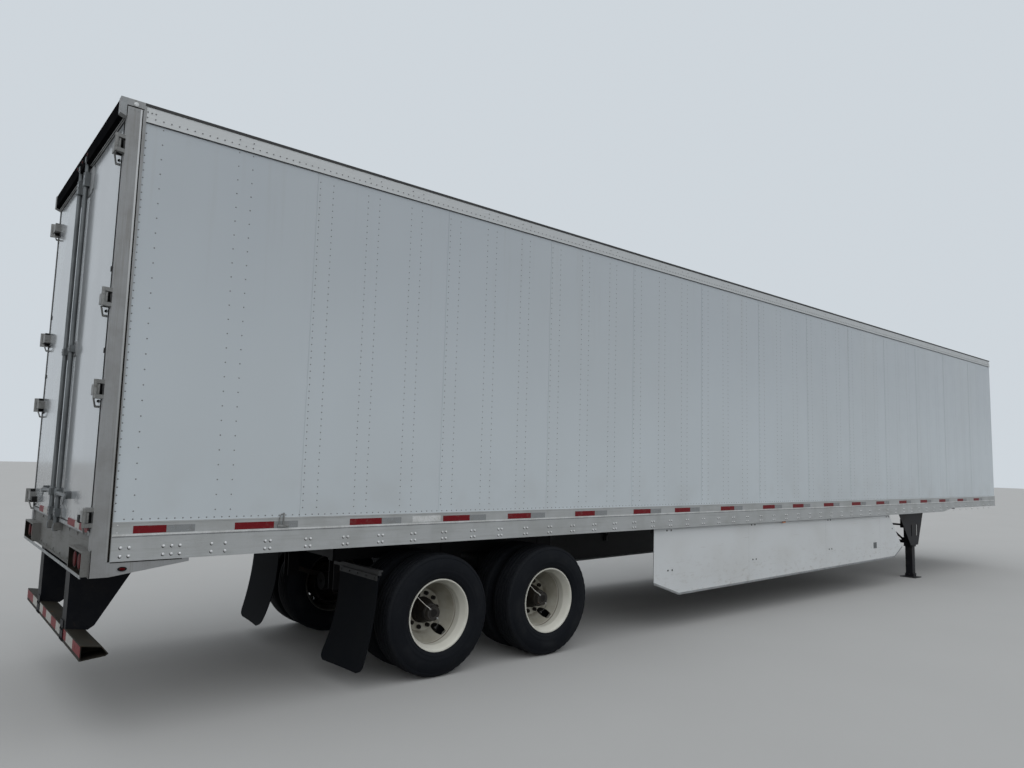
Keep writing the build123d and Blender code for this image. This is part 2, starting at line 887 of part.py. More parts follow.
# Landing legs, with their feet and wing plates
with BuildPart() as landing_legs:
    leg = (leg_station - leg_tube / 2, leg_station + leg_tube / 2)
    block(leg, (leg_reach - leg_tube / 2, leg_reach + leg_tube / 2), (leg_tube_low, beam_bottom))
    with Locations((x_at(leg_station), leg_reach, (foot_hub_height + leg_tube_low) / 2)):
        Box(leg_inner_tube, leg_inner_tube, leg_tube_low - foot_hub_height)
    with Locations((x_at(leg_station), leg_reach, foot_hub_height - leg_inner_tube / 4)):
        Box(leg_inner_tube, leg_tube, leg_inner_tube / 2)
    with Locations((x_at(leg_station), leg_reach, (foot_hub_height + foot_plate) / 2)):
        Box(leg_inner_tube, leg_tube, foot_hub_height - foot_plate)
    with Locations((x_at(leg_station), leg_reach, foot_plate / 2)):
        Box(foot_size, foot_size, foot_plate)
    wing_outer = leg_reach + leg_tube / 2 + wing_thickness
    with BuildSketch(side_plane(wing_outer)):
        outline(
            (
                (leg_station - wing_behind, beam_bottom),
                (leg_station - wing_toe, wing_low),
                (leg_station + wing_toe, wing_low),
                (leg_station + wing_ahead, beam_bottom),
            )
        )
        slot_middle = (wing_slot_low + wing_slot_high) / 2
        with Locations(
            (x_at(leg_station - wing_slot_offset), slot_middle),
            (x_at(leg_station + wing_slot_offset), slot_middle),
        ):
            SlotOverall(wing_slot_high - wing_slot_low, wing_slot_width, rotation=90, mode=Mode.SUBTRACT)
    extrude(amount=wing_thickness)
    mirror(about=Plane.XZ)
save(landing_legs.part, "landing_legs")

# Braces between the legs, with the cross shaft that turns both together
with BuildPart() as landing_braces:
    leg_side = leg_reach - leg_tube / 2
    with Locations((x_at(leg_station), 0, shaft_height)):
        Cylinder(shaft_radius, 2 * leg_side, rotation=(90, 0, 0))
    block(
        (leg_station - brace_width / 2, leg_station + brace_width / 2),
        (-leg_side, leg_side),
        (leg_tube_low + brace_width, leg_tube_low + 2 * brace_width),
    )
save(landing_braces.part, "landing_braces")

with BuildPart() as landing_crank:
    with Locations((x_at(leg_station), (wing_outer + crank_reach) / 2, shaft_height)):
        Cylinder(shaft_radius, crank_reach - wing_outer, rotation=(90, 0, 0))
    block(
        (leg_station - 2 * shaft_radius, leg_station + 2 * shaft_radius),
        (crank_reach - crank_bar, crank_reach),
        (shaft_height - crank_drop, shaft_height + 2 * shaft_radius),
    )
save(landing_crank.part, "landing_crank")

# Side skirts, thin panels hung from the bottom rails, and the brackets that stiffen them
with BuildPart() as side_skirts:
    with BuildSketch(side_plane(skirt_outer)):
        outline(skirt_outline)
    extrude(amount=skirt_thickness)
    mirror(about=Plane.XZ)
save(side_skirts.part, "side_skirts")

with BuildPart() as skirt_brackets:
    skirt_inner = skirt_outer - skirt_thickness
    for station in skirt_brackets_at:
        near = (station - bracket_width / 2, station + bracket_width / 2)
        block(near, (skirt_inner - bracket_width, skirt_inner), (bracket_low, beam_bottom))
        block(near, (bracket_inner, skirt_inner), (beam_bottom - bracket_width, beam_bottom))
        bar(
            (x_at(station), skirt_inner - bracket_width / 2, bracket_low + bracket_width),
            (x_at(station), bracket_inner + bracket_width, beam_bottom - bracket_width / 2),
            bracket_width / 2,
        )
    mirror(about=Plane.XZ)
save(skirt_brackets.part, "skirt_brackets")

# Air couplings either side of the electrical socket, on the nose
with BuildPart() as nose_couplings:
    plate_face = front_wall_face + coupling_plate
    for reach in coupling_reaches:
        block(
            (front_wall_face, plate_face),
            (reach - socket_size / 2, reach + socket_size / 2),
            (coupling_height - socket_size / 2, coupling_height + socket_size / 2),
        )
        with BuildSketch(Plane.YZ.offset(x_at(plate_face))):
            with Locations((reach, coupling_height)):
                Circle(coupling_body)
        extrude(amount=coupling_neck)
        with BuildSketch(Plane.YZ.offset(x_at(plate_face + coupling_neck))):
            with Locations((reach, coupling_height)):
                Circle(socket_size / 2)
        extrude(amount=coupling_body)
    block(
        (front_wall_face, plate_face),
        (-socket_size, socket_size),
        (coupling_height - socket_size, coupling_height + socket_size),
    )
    with BuildSketch(Plane.YZ.offset(x_at(plate_face))):
        with Locations((0, coupling_height)):
            Circle(socket_size / 2)
    extrude(amount=coupling_neck)
save(nose_couplings.part, "nose_couplings")

# Tandem frame, that slides under the body, with its spring hangers
axles_at = (rear_axle, front_axle)
hangers = (  # station, length
    (rear_axle - spring_half, hanger_length),
    (tandem_station, equaliser_length),
    (front_axle + spring_half, hanger_length),
)
with BuildPart() as tandem_frame:
    block((frame_rear, frame_front), (rail_inner, rail_out), (frame_low, frame_high))
    for station, length in hangers:
        for outer in (rail_inner, rail_out + hanger_plate):
            block(
                (station - length / 2, station + length / 2),
                (outer - hanger_plate, outer),
                (hanger_low, frame_high),
            )
    mirror(about=Plane.XZ)
    for station in frame_cross:
        block(
            (station - cross_tube / 2, station + cross_tube / 2),
            (-rail_inner, rail_inner),
            (frame_low, frame_low + cross_tube),
        )
save(tandem_frame.part, "tandem_frame")

# Leaf springs, a pack over each end of each axle
seat_top = axle_height + axle_radius + 2 * hanger_plate
with BuildPart() as leaf_springs:
    for station in axles_at:
        with BuildSketch(side_plane(rail_out)):
            ends = [x_at(station - spring_half), x_at(station + spring_half)]
            eye = spring_eye_height
            with BuildLine():
                ThreePointArc((ends[0], eye), (x_at(station), seat_top), (ends[1], eye))
                Line((ends[1], eye), (ends[1], eye + spring_pack))
                ThreePointArc(
                    (ends[1], eye + spring_pack),
                    (x_at(station), seat_top + spring_pack),
                    (ends[0], eye + spring_pack),
                )
                Line((ends[0], eye + spring_pack), (ends[0], eye))
            make_face()
        extrude(amount=frame_rail_width)
    mirror(about=Plane.XZ)
save(leaf_springs.part, "leaf_springs")

# Axles, tubes with spring seats and spindles
with BuildPart() as axles:
    for station in axles_at:
        with Locations((x_at(station), 0, axle_height)):
            Cylinder(axle_radius, 2 * axle_half, rotation=(90, 0, 0))
            Cylinder(spindle_radius, 2 * hub_face, rotation=(90, 0, 0))
        for side in (-1, 1):
            block(
                (station - spring_seat / 2, station + spring_seat / 2),
                tuple(sorted((side * (rail_inner), side * (rail_out)))),
                (axle_height, seat_top),
            )
save(axles.part, "axles")

# Brake chambers behind the axles, with the cam tubes that run out to the drums
with BuildPart() as brake_chambers:
    for station in axles_at:
        tube_station = station - chamber_behind
        with Locations((x_at(tube_station), (chamber_reach + drum_inner) / 2 - running_gap, axle_height)):
            Cylinder(cam_tube_radius, drum_inner - chamber_reach - 2 * running_gap, rotation=(90, 0, 0))
        with BuildSketch(Plane.YZ.offset(x_at(tube_station - chamber_length))):
            with Locations((chamber_reach, axle_height + chamber_radius)):
                Circle(chamber_radius)
        extrude(amount=chamber_length)
        block(
            (tube_station - cam_tube_radius, station),
            (chamber_reach - cam_tube_radius, chamber_reach + cam_tube_radius),
            (axle_height - cam_tube_radius, axle_height + chamber_radius),
        )
    mirror(about=Plane.XZ)
    for station in axles_at:
        with Locations((x_at(station), 0, axle_height)):
            Cylinder(axle_radius, 2 * axle_half, rotation=(90, 0, 0), mode=Mode.SUBTRACT)
save(brake_chambers.part, "brake_chambers")

# Mud flaps on their bars, behind the rear tyres
with BuildPart() as flap_hangers:
    block(
        (flap_top_station - hanger_bar / 2, flap_top_station + hanger_bar / 2),
        (rail_out + hanger_plate, flap_outer),
        (flap_top, flap_top + hanger_bar),
    )
    mirror(about=Plane.XZ)
save(flap_hangers.part, "flap_hangers")

with BuildPart() as mud_flaps:
    with BuildSketch(side_plane(flap_outer)):
        outline(
            (
                (flap_top_station - flap_thickness / 2, flap_top),
                (flap_bottom_station - flap_thickness / 2, flap_bottom),
                (flap_bottom_station + flap_thickness / 2, flap_bottom),
                (flap_top_station + flap_thickness / 2, flap_top),
            )
        )
    extrude(amount=flap_outer - flap_inner)
    mirror(about=Plane.XZ)
save(mud_flaps.part, "mud_flaps")

# Wheels. Profiles are of reach from the dual's middle plane and radius.
rim_centre = dual_spacing / 2
with BuildPart() as tyre_pair:
    for centre in (-rim_centre, rim_centre):
        bead = flange_reach - flange_thickness - running_gap
        bulge_radius = (flange_radius + tyre_radius) / 2
        with BuildSketch(Plane.XY):
            with BuildLine():
                for flip in (-1, 1):
                    Polyline(
                        (0 + centre, bead_radius + running_gap),
                        (flip * bead + centre, bead_radius + running_gap),
                        (flip * bead + centre, flange_radius + running_gap),
                    )
                    ThreePointArc(
                        (flip * bead + centre, flange_radius + running_gap),
                        (flip * tyre_width / 2 + centre, bulge_radius),
                        (flip * (tread_half + shoulder_radius / 2) + centre, tyre_radius - shoulder_radius),
                    )
                    Polyline(
                        (flip * (tread_half + shoulder_radius / 2) + centre, tyre_radius - shoulder_radius),
                        (flip * tread_half + centre, tyre_radius - shoulder_radius / 4),
                        (flip * (tread_half - shoulder_radius) + centre, tyre_radius),
                        (0 + centre, tyre_radius),
                    )
            make_face()
        revolve(axis=Axis.X)

with BuildPart() as rim_pair:
    barrel = rim_centre - flange_reach
    with BuildSketch(Plane.XY):
        Polygon(
            (0, centre_bore + running_gap),
            (disc_thickness, centre_bore + running_gap),
            (disc_thickness, disc_flat),
            (disc_reach, well_radius - rim_wall),
            (rim_centre + well_reach, well_radius - rim_wall),
            (rim_centre + flange_reach - flange_thickness - rim_wall, bead_radius - rim_wall),
            (rim_centre + flange_reach, flange_radius - flange_thickness),
            (rim_centre + flange_reach, flange_radius),
            (rim_centre + flange_reach - flange_thickness, flange_radius),
            (rim_centre + flange_reach - flange_thickness, bead_radius),
            (rim_centre + well_reach + rim_wall, bead_radius - rim_wall / 2),
            (rim_centre + well_reach, well_radius),
            (rim_centre - well_reach, well_radius),
            (rim_centre - well_reach - rim_wall, bead_radius - rim_wall / 2),
            (barrel + flange_thickness, bead_radius),
            (barrel + flange_thickness, flange_radius),
            (barrel, flange_radius),
            (barrel, flange_radius - flange_thickness),
            (barrel + flange_thickness + rim_wall, bead_radius - rim_wall),
            (rim_centre - well_reach, well_radius - rim_wall),
            (disc_reach - disc_thickness, well_radius - rim_wall),
            (0, disc_flat + disc_thickness),
        )
    revolve(axis=Axis.X)
    mirror(about=Plane.YZ)
    with BuildSketch(Plane.YZ.offset(-rim_centre)):
        with PolarLocations(hand_hole_circle, hand_holes, start_angle=hand_hole_tilt):
            Circle(hand_hole_radius)
    extrude(amount=2 * rim_centre, mode=Mode.SUBTRACT)

with BuildPart() as hub:
    with BuildSketch(Plane.XY):
        Polygon(
            (-drum_depth, drum_radius),
            (-drum_depth, drum_radius - drum_wall),
            (-disc_thickness - drum_wall, drum_radius - drum_wall),
            (-disc_thickness - drum_wall, spindle_radius + running_gap),
            (hub_length, spindle_radius + running_gap),
            (hub_length, hub_nose_radius),
            (hub_shoulder, centre_bore - drum_wall),
            (disc_thickness, centre_bore),
            (-disc_thickness, centre_bore),
            (-disc_thickness, disc_flat - rim_wall),
            (-disc_thickness - drum_slope, drum_radius),
        )
    revolve(axis=Axis.X)
    with BuildSketch(Plane.YZ.offset(hub_length)):
        Circle(hub_cap_radius)
    extrude(amount=hub_cap_length)
    with BuildSketch(Plane.YZ.offset(disc_thickness)):
        with PolarLocations(nut_circle, nut_count, start_angle=nut_tilt):
            RegularPolygon(nut_radius, 6)
    extrude(amount=nut_height)

for end, station in (("rear", rear_axle), ("front", front_axle)):
    for name, side in (("right", -1), ("left", 1)):
        centre = (x_at(station), side * track_centre, axle_height)
        place = Plane(origin=centre, x_dir=(0, side, 0), z_dir=(side, 0, 0))
        for piece, label in ((tyre_pair, "tyres"), (rim_pair, "rims"), (hub, "hub")):
            with BuildPart() as placed:
                add(piece.part.moved(place.location))
            save(placed.part, f"{end}_{name}_{label}")
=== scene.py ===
import json
import math

import bmesh
import bpy
from mathutils import Matrix, Vector


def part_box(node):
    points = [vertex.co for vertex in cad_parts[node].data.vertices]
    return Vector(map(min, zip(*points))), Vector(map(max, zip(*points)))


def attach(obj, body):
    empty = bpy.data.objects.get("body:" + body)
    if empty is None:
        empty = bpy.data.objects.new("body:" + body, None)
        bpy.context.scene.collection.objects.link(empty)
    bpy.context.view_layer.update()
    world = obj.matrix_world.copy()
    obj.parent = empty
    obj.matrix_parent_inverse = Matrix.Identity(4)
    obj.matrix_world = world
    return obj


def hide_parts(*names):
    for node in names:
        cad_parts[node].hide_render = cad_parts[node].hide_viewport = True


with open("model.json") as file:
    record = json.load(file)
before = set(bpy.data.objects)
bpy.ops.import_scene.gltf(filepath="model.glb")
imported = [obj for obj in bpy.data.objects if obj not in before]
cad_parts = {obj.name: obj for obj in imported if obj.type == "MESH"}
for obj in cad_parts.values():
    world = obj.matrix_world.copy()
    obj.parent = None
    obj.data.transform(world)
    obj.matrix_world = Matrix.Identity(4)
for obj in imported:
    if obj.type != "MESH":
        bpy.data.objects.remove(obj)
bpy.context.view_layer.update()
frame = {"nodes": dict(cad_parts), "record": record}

sides = (("right", -1), ("left", 1))

# Places that the pieces share, read from the frame. Metres, x forward, y to the left, z up.
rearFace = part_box("rear_posts")[0].x
railLow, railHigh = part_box("bottom_rails")
wallLow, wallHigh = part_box("side_wall_left")
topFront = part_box("top_rails")[1].x
postFront, noseFace = railLow.x, railHigh.x
railFoot, railFace = railLow.z, railHigh.y
railWeb = railFace - 0.003  # the bottom rail's face between its beads
liningFace, sheetFace = wallLow.y, wallHigh.y
doorStation = 0.045  # the doors' outer skin, ahead of the rear face
firstSeam, seamPitch, seamCount = 1.390, 1.2305, 12
crossPitch = 0.3048


def forward(distance):
    return rearFace + distance  # metres ahead of the rear face of the body


def run(*distances):  # the same for the ends of something
    return [forward(distance) for distance in distances]


def across(side, *reach):  # distances from the middle on one side, in order of y
    return sorted(side * value for value in reach)


# The camera, solved from the photograph's straight edges
cameraView = {
    "place": (-9.02, -6.473, 1.816),
    "heading": 50.23,
    "pitch": 5.94,
    "roll": 1.58,
    "focalPixels": 731.1,
    "imageWidth": 1024,
    "sensorWidth": 36.0,
    "reach": 400.0,
}


def makeCamera():
    heading, pitch, roll = (math.radians(cameraView[key]) for key in ("heading", "pitch", "roll"))
    ahead = Vector((math.cos(heading) * math.cos(pitch), math.sin(heading) * math.cos(pitch), math.sin(pitch)))
    level = Vector((math.sin(heading), -math.cos(heading), 0.0))
    above = level.cross(ahead)
    right = level * math.cos(roll) + above * math.sin(roll)
    up = above * math.cos(roll) - level * math.sin(roll)
    camera = bpy.data.objects.new("camera", bpy.data.cameras.new("camera"))
    bpy.context.scene.collection.objects.link(camera)
    turned = Matrix((right, up, -ahead)).transposed()
    camera.matrix_world = Matrix.Translation(cameraView["place"]) @ turned.to_4x4()
    camera.data.sensor_width = cameraView["sensorWidth"]
    camera.data.lens = cameraView["focalPixels"] * cameraView["sensorWidth"] / cameraView["imageWidth"]
    camera.data.clip_end = cameraView["reach"]
    bpy.context.scene.camera = camera


makeCamera()
print("camera set")


class Wire:  # one output of a node; sums on it add Math nodes
    def __init__(self, finish, socket):
        self.finish = finish
        self.socket = socket

    def math(self, operation, *values):
        return self.finish.node("ShaderNodeMath", {"operation": operation}, values)

    def __add__(self, other):
        return self.math("ADD", self, other)

    def __mul__(self, other):
        return self.math("MULTIPLY", self, other)

    def __sub__(self, other):
        return self.math("SUBTRACT", self, other)

    def __rsub__(self, other):
        return self.math("SUBTRACT", other, self)

    def __truediv__(self, other):
        return self.math("DIVIDE", self, other)

    def __pow__(self, other):
        return self.math("POWER", self, other)

    def __gt__(self, other):
        return self.math("GREATER_THAN", self, other)

    def __lt__(self, other):
        return self.math("LESS_THAN", self, other)

    def __abs__(self):
        return self.math("ABSOLUTE", self)

    __radd__ = __add__
    __rmul__ = __mul__

    def whole(self):
        return self.math("FLOOR", self)

    def least(self, other):
        return self.math("MINIMUM", self, other)

    def most(self, other):
        return self.math("MAXIMUM", self, other)


class Finish:  # one material, painted in the model's own metres
    def __init__(self, name):
        self.material = bpy.data.materials.new(name)
        self.material.use_nodes = True
        self.tree = self.material.node_tree
        self.shader = self.tree.nodes["Principled BSDF"]
        self.place = self.node("ShaderNodeTexCoord", {}, {}, "Object")
        self.parts = None

    def node(self, kind, settings, values, output=0):
        made = self.tree.nodes.new(kind)
        for key, value in settings.items():
            if key == "stops":
                self.setStops(made.color_ramp, value)
            else:
                setattr(made, key, value)
        pairs = values.items() if isinstance(values, dict) else enumerate(values)
        for key, value in pairs:
            if isinstance(value, Wire):
                self.tree.links.new(value.socket, made.inputs[key])
            else:
                made.inputs[key].default_value = value
        return Wire(self, made.outputs[output])

    def setStops(self, ramp, stops):
        while len(ramp.elements) < len(stops):
            ramp.elements.new(1.0)
        for element, (position, colour) in zip(ramp.elements, stops):
            element.position = position
            element.color = (*colour, 1.0)

    def axis(self, index):
        if self.parts is None:
            split = self.tree.nodes.new("ShaderNodeSeparateXYZ")
            self.tree.links.new(self.place.socket, split.inputs[0])
            self.parts = [Wire(self, output) for output in split.outputs]
        return self.parts[index]

    def facing(self, index):
        normal = self.node("ShaderNodeTexCoord", {}, {}, "Normal")
        return self.node("ShaderNodeSeparateXYZ", {}, [normal], index)

    def grain(self, scale, detail=3.0, stretch=(1.0, 1.0, 1.0), rough=0.5):
        place = self.node("ShaderNodeVectorMath", {"operation": "MULTIPLY"}, [self.place, stretch])
        settings = {"Vector": place, "Scale": scale, "Detail": detail, "Roughness": rough}
        return self.node("ShaderNodeTexNoise", {}, settings)

    def cells(self, scale, feature="F1"):
        return self.node("ShaderNodeTexVoronoi", {"feature": feature}, {"Vector": self.place, "Scale": scale})

    def chance(self, number):
        return self.node("ShaderNodeTexWhiteNoise", {"noise_dimensions": "1D"}, {"W": number})

    def span(self, value, low, high):  # 0 at low, 1 at high, smooth between
        values = {"Value": value, "From Min": low, "From Max": high}
        return self.node("ShaderNodeMapRange", {"interpolation_type": "SMOOTHSTEP"}, values)

    def mix(self, amount, first, second):
        colours = [value if isinstance(value, Wire) else (*value, 1.0) for value in (first, second)]
        values = {0: amount, 6: colours[0], 7: colours[1]}
        return self.node("ShaderNodeMix", {"data_type": "RGBA"}, values, 2)

    def bump(self, height, distance, strength=1.0):
        values = {"Height": height, "Distance": distance, "Strength": strength}
        return self.node("ShaderNodeBump", {}, values)

    def spoke(self):  # distance from the nearer axle's centre line
        x, z = self.axis(0), self.axis(2)
        along = abs(x - axlePlaces[0].x).least(abs(x - axlePlaces[1].x))
        rise = z - axlePlaces[0].z
        return (along * along + rise * rise) ** 0.5

    def set(self, sockets):
        for name, value in sockets.items():
            socket = self.shader.inputs[name]
            if isinstance(value, Wire):
                self.tree.links.new(value.socket, socket)
            elif isinstance(value, tuple):
                socket.default_value = (*value, 1.0)
            else:
                socket.default_value = value
        return self.material


axlePlaces = []
for end in ("rear", "front"):
    low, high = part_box(f"{end}_right_tyres")
    axlePlaces.append((low + high) / 2)
trackReach = abs(axlePlaces[0].y)  # where both discs of a twin wheel meet


# Finishes

wallLook = {
    # painted light: "white" is the paler wall low down, "high" the darker wall up high
    "white": (0.556, 0.602, 0.628),
    "high": (0.438, 0.474, 0.503),
    "warm": (0.468, 0.499, 0.514),
    "grime": (0.350, 0.340, 0.317),
    "sheetShift": 0.4,
    "roughness": 0.36,
}


def wallPaint():
    f = Finish("wallPaint")
    x, z = f.axis(0), f.axis(2)
    sheet = ((x - forward(firstSeam)) / seamPitch).whole()
    shade = f.chance(sheet) * wallLook["sheetShift"]
    clouds = f.grain(0.7, 2.0, (1.0, 1.0, 0.6))
    streaks = f.grain(5.0, 5.0, (2.0, 2.0, 0.08), 0.6)
    runs = f.span(streaks, 0.54, 0.72) * f.span(z, 2.2, 3.98) * 0.25
    splash = f.span(f.grain(3.0, 5.0), 0.42, 0.75) * f.span(z, 1.95, 1.36) * 0.35
    # painted light: paler low on the wall and darker high up, standing in for light thrown up from the ground
    white = f.mix(f.span(z, 1.4, 3.9), wallLook["white"], wallLook["high"])
    base = f.mix((f.span(clouds, 0.35, 0.7) + shade) * 0.4, white, wallLook["warm"])
    colour = f.mix(runs.most(splash) * 0.5, base, wallLook["grime"])
    waves = f.grain(1.3, 1.5, (1.0, 1.0, 0.5))
    peel = f.grain(260.0, 2.0)
    normal = f.bump(waves + peel * 0.002, 0.05, 0.5)
    rough = wallLook["roughness"] + f.span(f.grain(9.0, 4.0), 0.3, 0.8) * 0.14
    return f.set({"Base Color": colour, "Roughness": rough, "Normal": normal,
                  "Coat Weight": 0.25, "Coat Roughness": 0.2})


doorLook = {"white": (0.365, 0.38, 0.39), "shade": (0.30, 0.312, 0.32), "grime": (0.21, 0.203, 0.186)}


def doorPaint():
    f = Finish("doorPaint")
    z = f.axis(2)
    clouds = f.span(f.grain(1.6, 3.0, (1.0, 1.0, 0.5)), 0.35, 0.7)
    dust = f.span(f.grain(14.0, 6.0), 0.45, 0.8) * f.span(z, 2.0, 1.3)
    scuffs = f.span(f.grain(30.0, 4.0, (1.0, 0.2, 3.0)), 0.66, 0.76) * f.span(z, 2.3, 1.5)
    base = f.mix(clouds * 0.5, doorLook["white"], doorLook["shade"])
    colour = f.mix(dust.most(scuffs) * 0.45, base, doorLook["grime"])
    rough = 0.12 + dust * 0.3 + clouds * 0.06
    normal = f.bump(f.grain(1.1, 1.0) + f.grain(300.0, 1.0) * 0.001, 0.03, 0.4)
    return f.set({"Base Color": colour, "Roughness": rough, "Normal": normal,
                  "Coat Weight": 0.25, "Coat Roughness": 0.08})


skirtLook = {
    "white": (0.62, 0.635, 0.64), "warm": (0.55, 0.555, 0.545), "mud": (0.30, 0.265, 0.22),
    # the near black of the inner faces is painted shade, with their dirt
    "insideShade": (0.010, 0.011, 0.013), "face": (1.2545, 1.2525),
}


def skirtPaint():
    f = Finish("skirtPaint")
    z = f.axis(2)
    clouds = f.span(f.grain(1.5, 4.0, (1.0, 1.0, 1.6)), 0.35, 0.75)
    spray = f.span(f.grain(22.0, 8.0, (0.5, 1.0, 1.0), 0.7), 0.5, 0.78) * f.span(z, 0.95, 0.36)
    scratch = f.span(f.grain(40.0, 3.0, (0.06, 1.0, 1.4)), 0.68, 0.74)
    base = f.mix(clouds * 0.6, skirtLook["white"], skirtLook["warm"])
    colour = f.mix(spray * 0.55 + scratch * 0.25, base, skirtLook["mud"])
    # painted shade: the skirts' inner faces are near black, with their dirt
    colour = f.mix(f.span(abs(f.axis(1)), *skirtLook["face"]), colour, skirtLook["insideShade"])
    normal = f.bump(f.grain(1.8, 1.0) + f.grain(200.0, 2.0) * 0.003, 0.03, 0.5)
    return f.set({"Base Color": colour, "Roughness": 0.42 + spray * 0.3, "Normal": normal})


# Bare metals: colour, dulled, stain, how metallic, roughness, direction of the grain, how stained
metalLooks = {
    "railAluminium": ((0.455, 0.464, 0.464), (0.365, 0.370, 0.361), (0.21, 0.20, 0.174),
                      0.5, 0.42, (0.25, 6.0, 8.0), 0.35),
    "postAluminium": ((0.312, 0.316, 0.318), (0.232, 0.230, 0.224), (0.15, 0.130, 0.103),
                      0.4, 0.5, (7.0, 7.0, 0.2), 0.5),
    "postStrip": ((0.33, 0.333, 0.33), (0.26, 0.26, 0.252), (0.14, 0.12, 0.095), 0.3, 0.4, (7.0, 7.0, 0.2), 0.4),
    "roofAluminium": ((0.64, 0.645, 0.65), (0.56, 0.563, 0.56), (0.40, 0.38, 0.34), 0.6, 0.48, (1.2, 1.2, 1.2), 0.5),
    "sillSteel": ((0.175, 0.175, 0.168), (0.13, 0.127, 0.118), (0.065, 0.055, 0.040),
                  0.3, 0.55, (4.0, 0.6, 4.0), 0.55),
    "hingeMetal": ((0.27, 0.27, 0.265), (0.17, 0.168, 0.158), (0.045, 0.038, 0.030),
                   0.55, 0.45, (6.0, 6.0, 6.0), 0.75),
    "rodGalvanised": ((0.175, 0.185, 0.188), (0.10, 0.108, 0.112), (0.035, 0.035, 0.035),
                      0.65, 0.38, (9.0, 9.0, 0.35), 0.7),
    "hangerSteel": ((0.030, 0.030, 0.031), (0.018, 0.018, 0.018), (0.028, 0.018, 0.012),
                    0.3, 0.5, (6.0, 1.0, 6.0), 0.5),
    "couplingMetal": ((0.46, 0.46, 0.45), (0.30, 0.30, 0.29), (0.09, 0.08, 0.07), 0.7, 0.42, (8.0, 8.0, 8.0), 0.5),
    "kingpinSteel": ((0.40, 0.39, 0.37), (0.20, 0.19, 0.17), (0.035, 0.03, 0.025),
                     0.9, 0.32, (10.0, 10.0, 10.0), 0.8),
    "bracketSteel": ((0.14, 0.142, 0.145), (0.095, 0.094, 0.090), (0.060, 0.048, 0.035),
                     0.55, 0.55, (5.0, 5.0, 5.0), 0.6),
    "rivetAluminium": ((0.78, 0.785, 0.79), (0.60, 0.60, 0.59), (0.30, 0.28, 0.24), 0.25, 0.4, (6.0, 6.0, 6.0), 0.5),
    # rivet heads darkened with dirt and painted shade
    "rivetDirtAndShade": ((0.22, 0.225, 0.23), (0.15, 0.15, 0.146), (0.08, 0.072, 0.06), 0.3, 0.5, (3.0, 3.0, 3.0), 0.7),
}
cleanTones = {"railAluminium": (0.55, 0.558, 0.556), "postStrip": (0.60, 0.605, 0.605)}


def bareMetal(name):
    tone, dull, stain, metallic, roughness, grain, stained = metalLooks[name]
    f = Finish(name)
    brushed = f.grain(22.0, 6.0, grain, 0.65)
    blotches = f.span(f.grain(4.0, 5.0, rough=0.6), 0.38, 0.68)
    flecks = f.span(f.grain(70.0, 4.0), 0.56, 0.74)
    stains = (f.span(f.grain(7.0, 6.0, grain, 0.7), 0.5, 0.74) * 0.75 + flecks * 0.25) * stained
    colour = f.mix(stains, f.mix(blotches * 0.6 + brushed * 0.4, tone, dull), stain)
    if name in cleanTones:  # paler high on the walls, where the wheels throw no dirt
        colour = f.mix(f.span(f.axis(2), 1.5, 3.9) * 0.8, colour, cleanTones[name])
    rough = roughness + brushed * 0.14 + stains * 0.25
    normal = f.bump(brushed + flecks * 0.3, 0.0012, 0.6)
    return f.set({"Base Color": colour, "Roughness": rough, "Metallic": metallic * (1.0 - stains), "Normal": normal})


# Painted steel: paint, dust on it, how dusty, rust at its chips, roughness, sheen
steelLooks = {
    "frameSteel": ((0.0055, 0.0058, 0.0065), (0.022, 0.020, 0.017), 0.3, 0.4, 0.55, 0.15),
    "frameBlack": ((0.0055, 0.0055, 0.0065), (0.024, 0.022, 0.018), 0.3, 0.35, 0.5, 0.12),
    "axleBlack": ((0.0060, 0.0060, 0.0065), (0.032, 0.028, 0.023), 0.4, 0.45, 0.5, 0.12),
    "chamberBlack": ((0.0075, 0.0075, 0.0082), (0.035, 0.032, 0.027), 0.35, 0.1, 0.4, 0.15),
    "springSteel": ((0.012, 0.010, 0.009), (0.042, 0.035, 0.027), 0.45, 0.8, 0.55, 0.15),
    "legBlack": ((0.012, 0.012, 0.015), (0.070, 0.065, 0.056), 0.4, 0.25, 0.45, 0.15),
    "crankSteel": ((0.030, 0.030, 0.031), (0.075, 0.07, 0.06), 0.3, 0.5, 0.4, 0.25),
    "strutBlack": ((0.0035, 0.0042, 0.0065), (0.030, 0.029, 0.027), 0.35, 0.1, 0.42, 0.1),
    "guardSteel": ((0.020, 0.018, 0.014), (0.048, 0.042, 0.032), 0.55, 0.75, 0.6, 0.15),
    "couplerSteel": ((0.028, 0.027, 0.026), (0.070, 0.058, 0.042), 0.4, 0.6, 0.38, 0.25),
    "headerBlack": ((0.0070, 0.0072, 0.0080), (0.024, 0.023, 0.022), 0.3, 0.0, 0.6, 0.0),
    "hubIron": ((0.0090, 0.0080, 0.0075), (0.040, 0.032, 0.024), 0.55, 0.5, 0.5, 0.15),
    "capIron": ((0.018, 0.016, 0.014), (0.060, 0.052, 0.043), 0.6, 0.3, 0.4, 0.3),
    "darkFitting": ((0.012, 0.012, 0.012), (0.055, 0.052, 0.045), 0.3, 0.2, 0.45, 0.2),
}
rustTones = ((0.0, (0.035, 0.016, 0.009)), (0.5, (0.12, 0.042, 0.016)), (1.0, (0.22, 0.085, 0.03)))


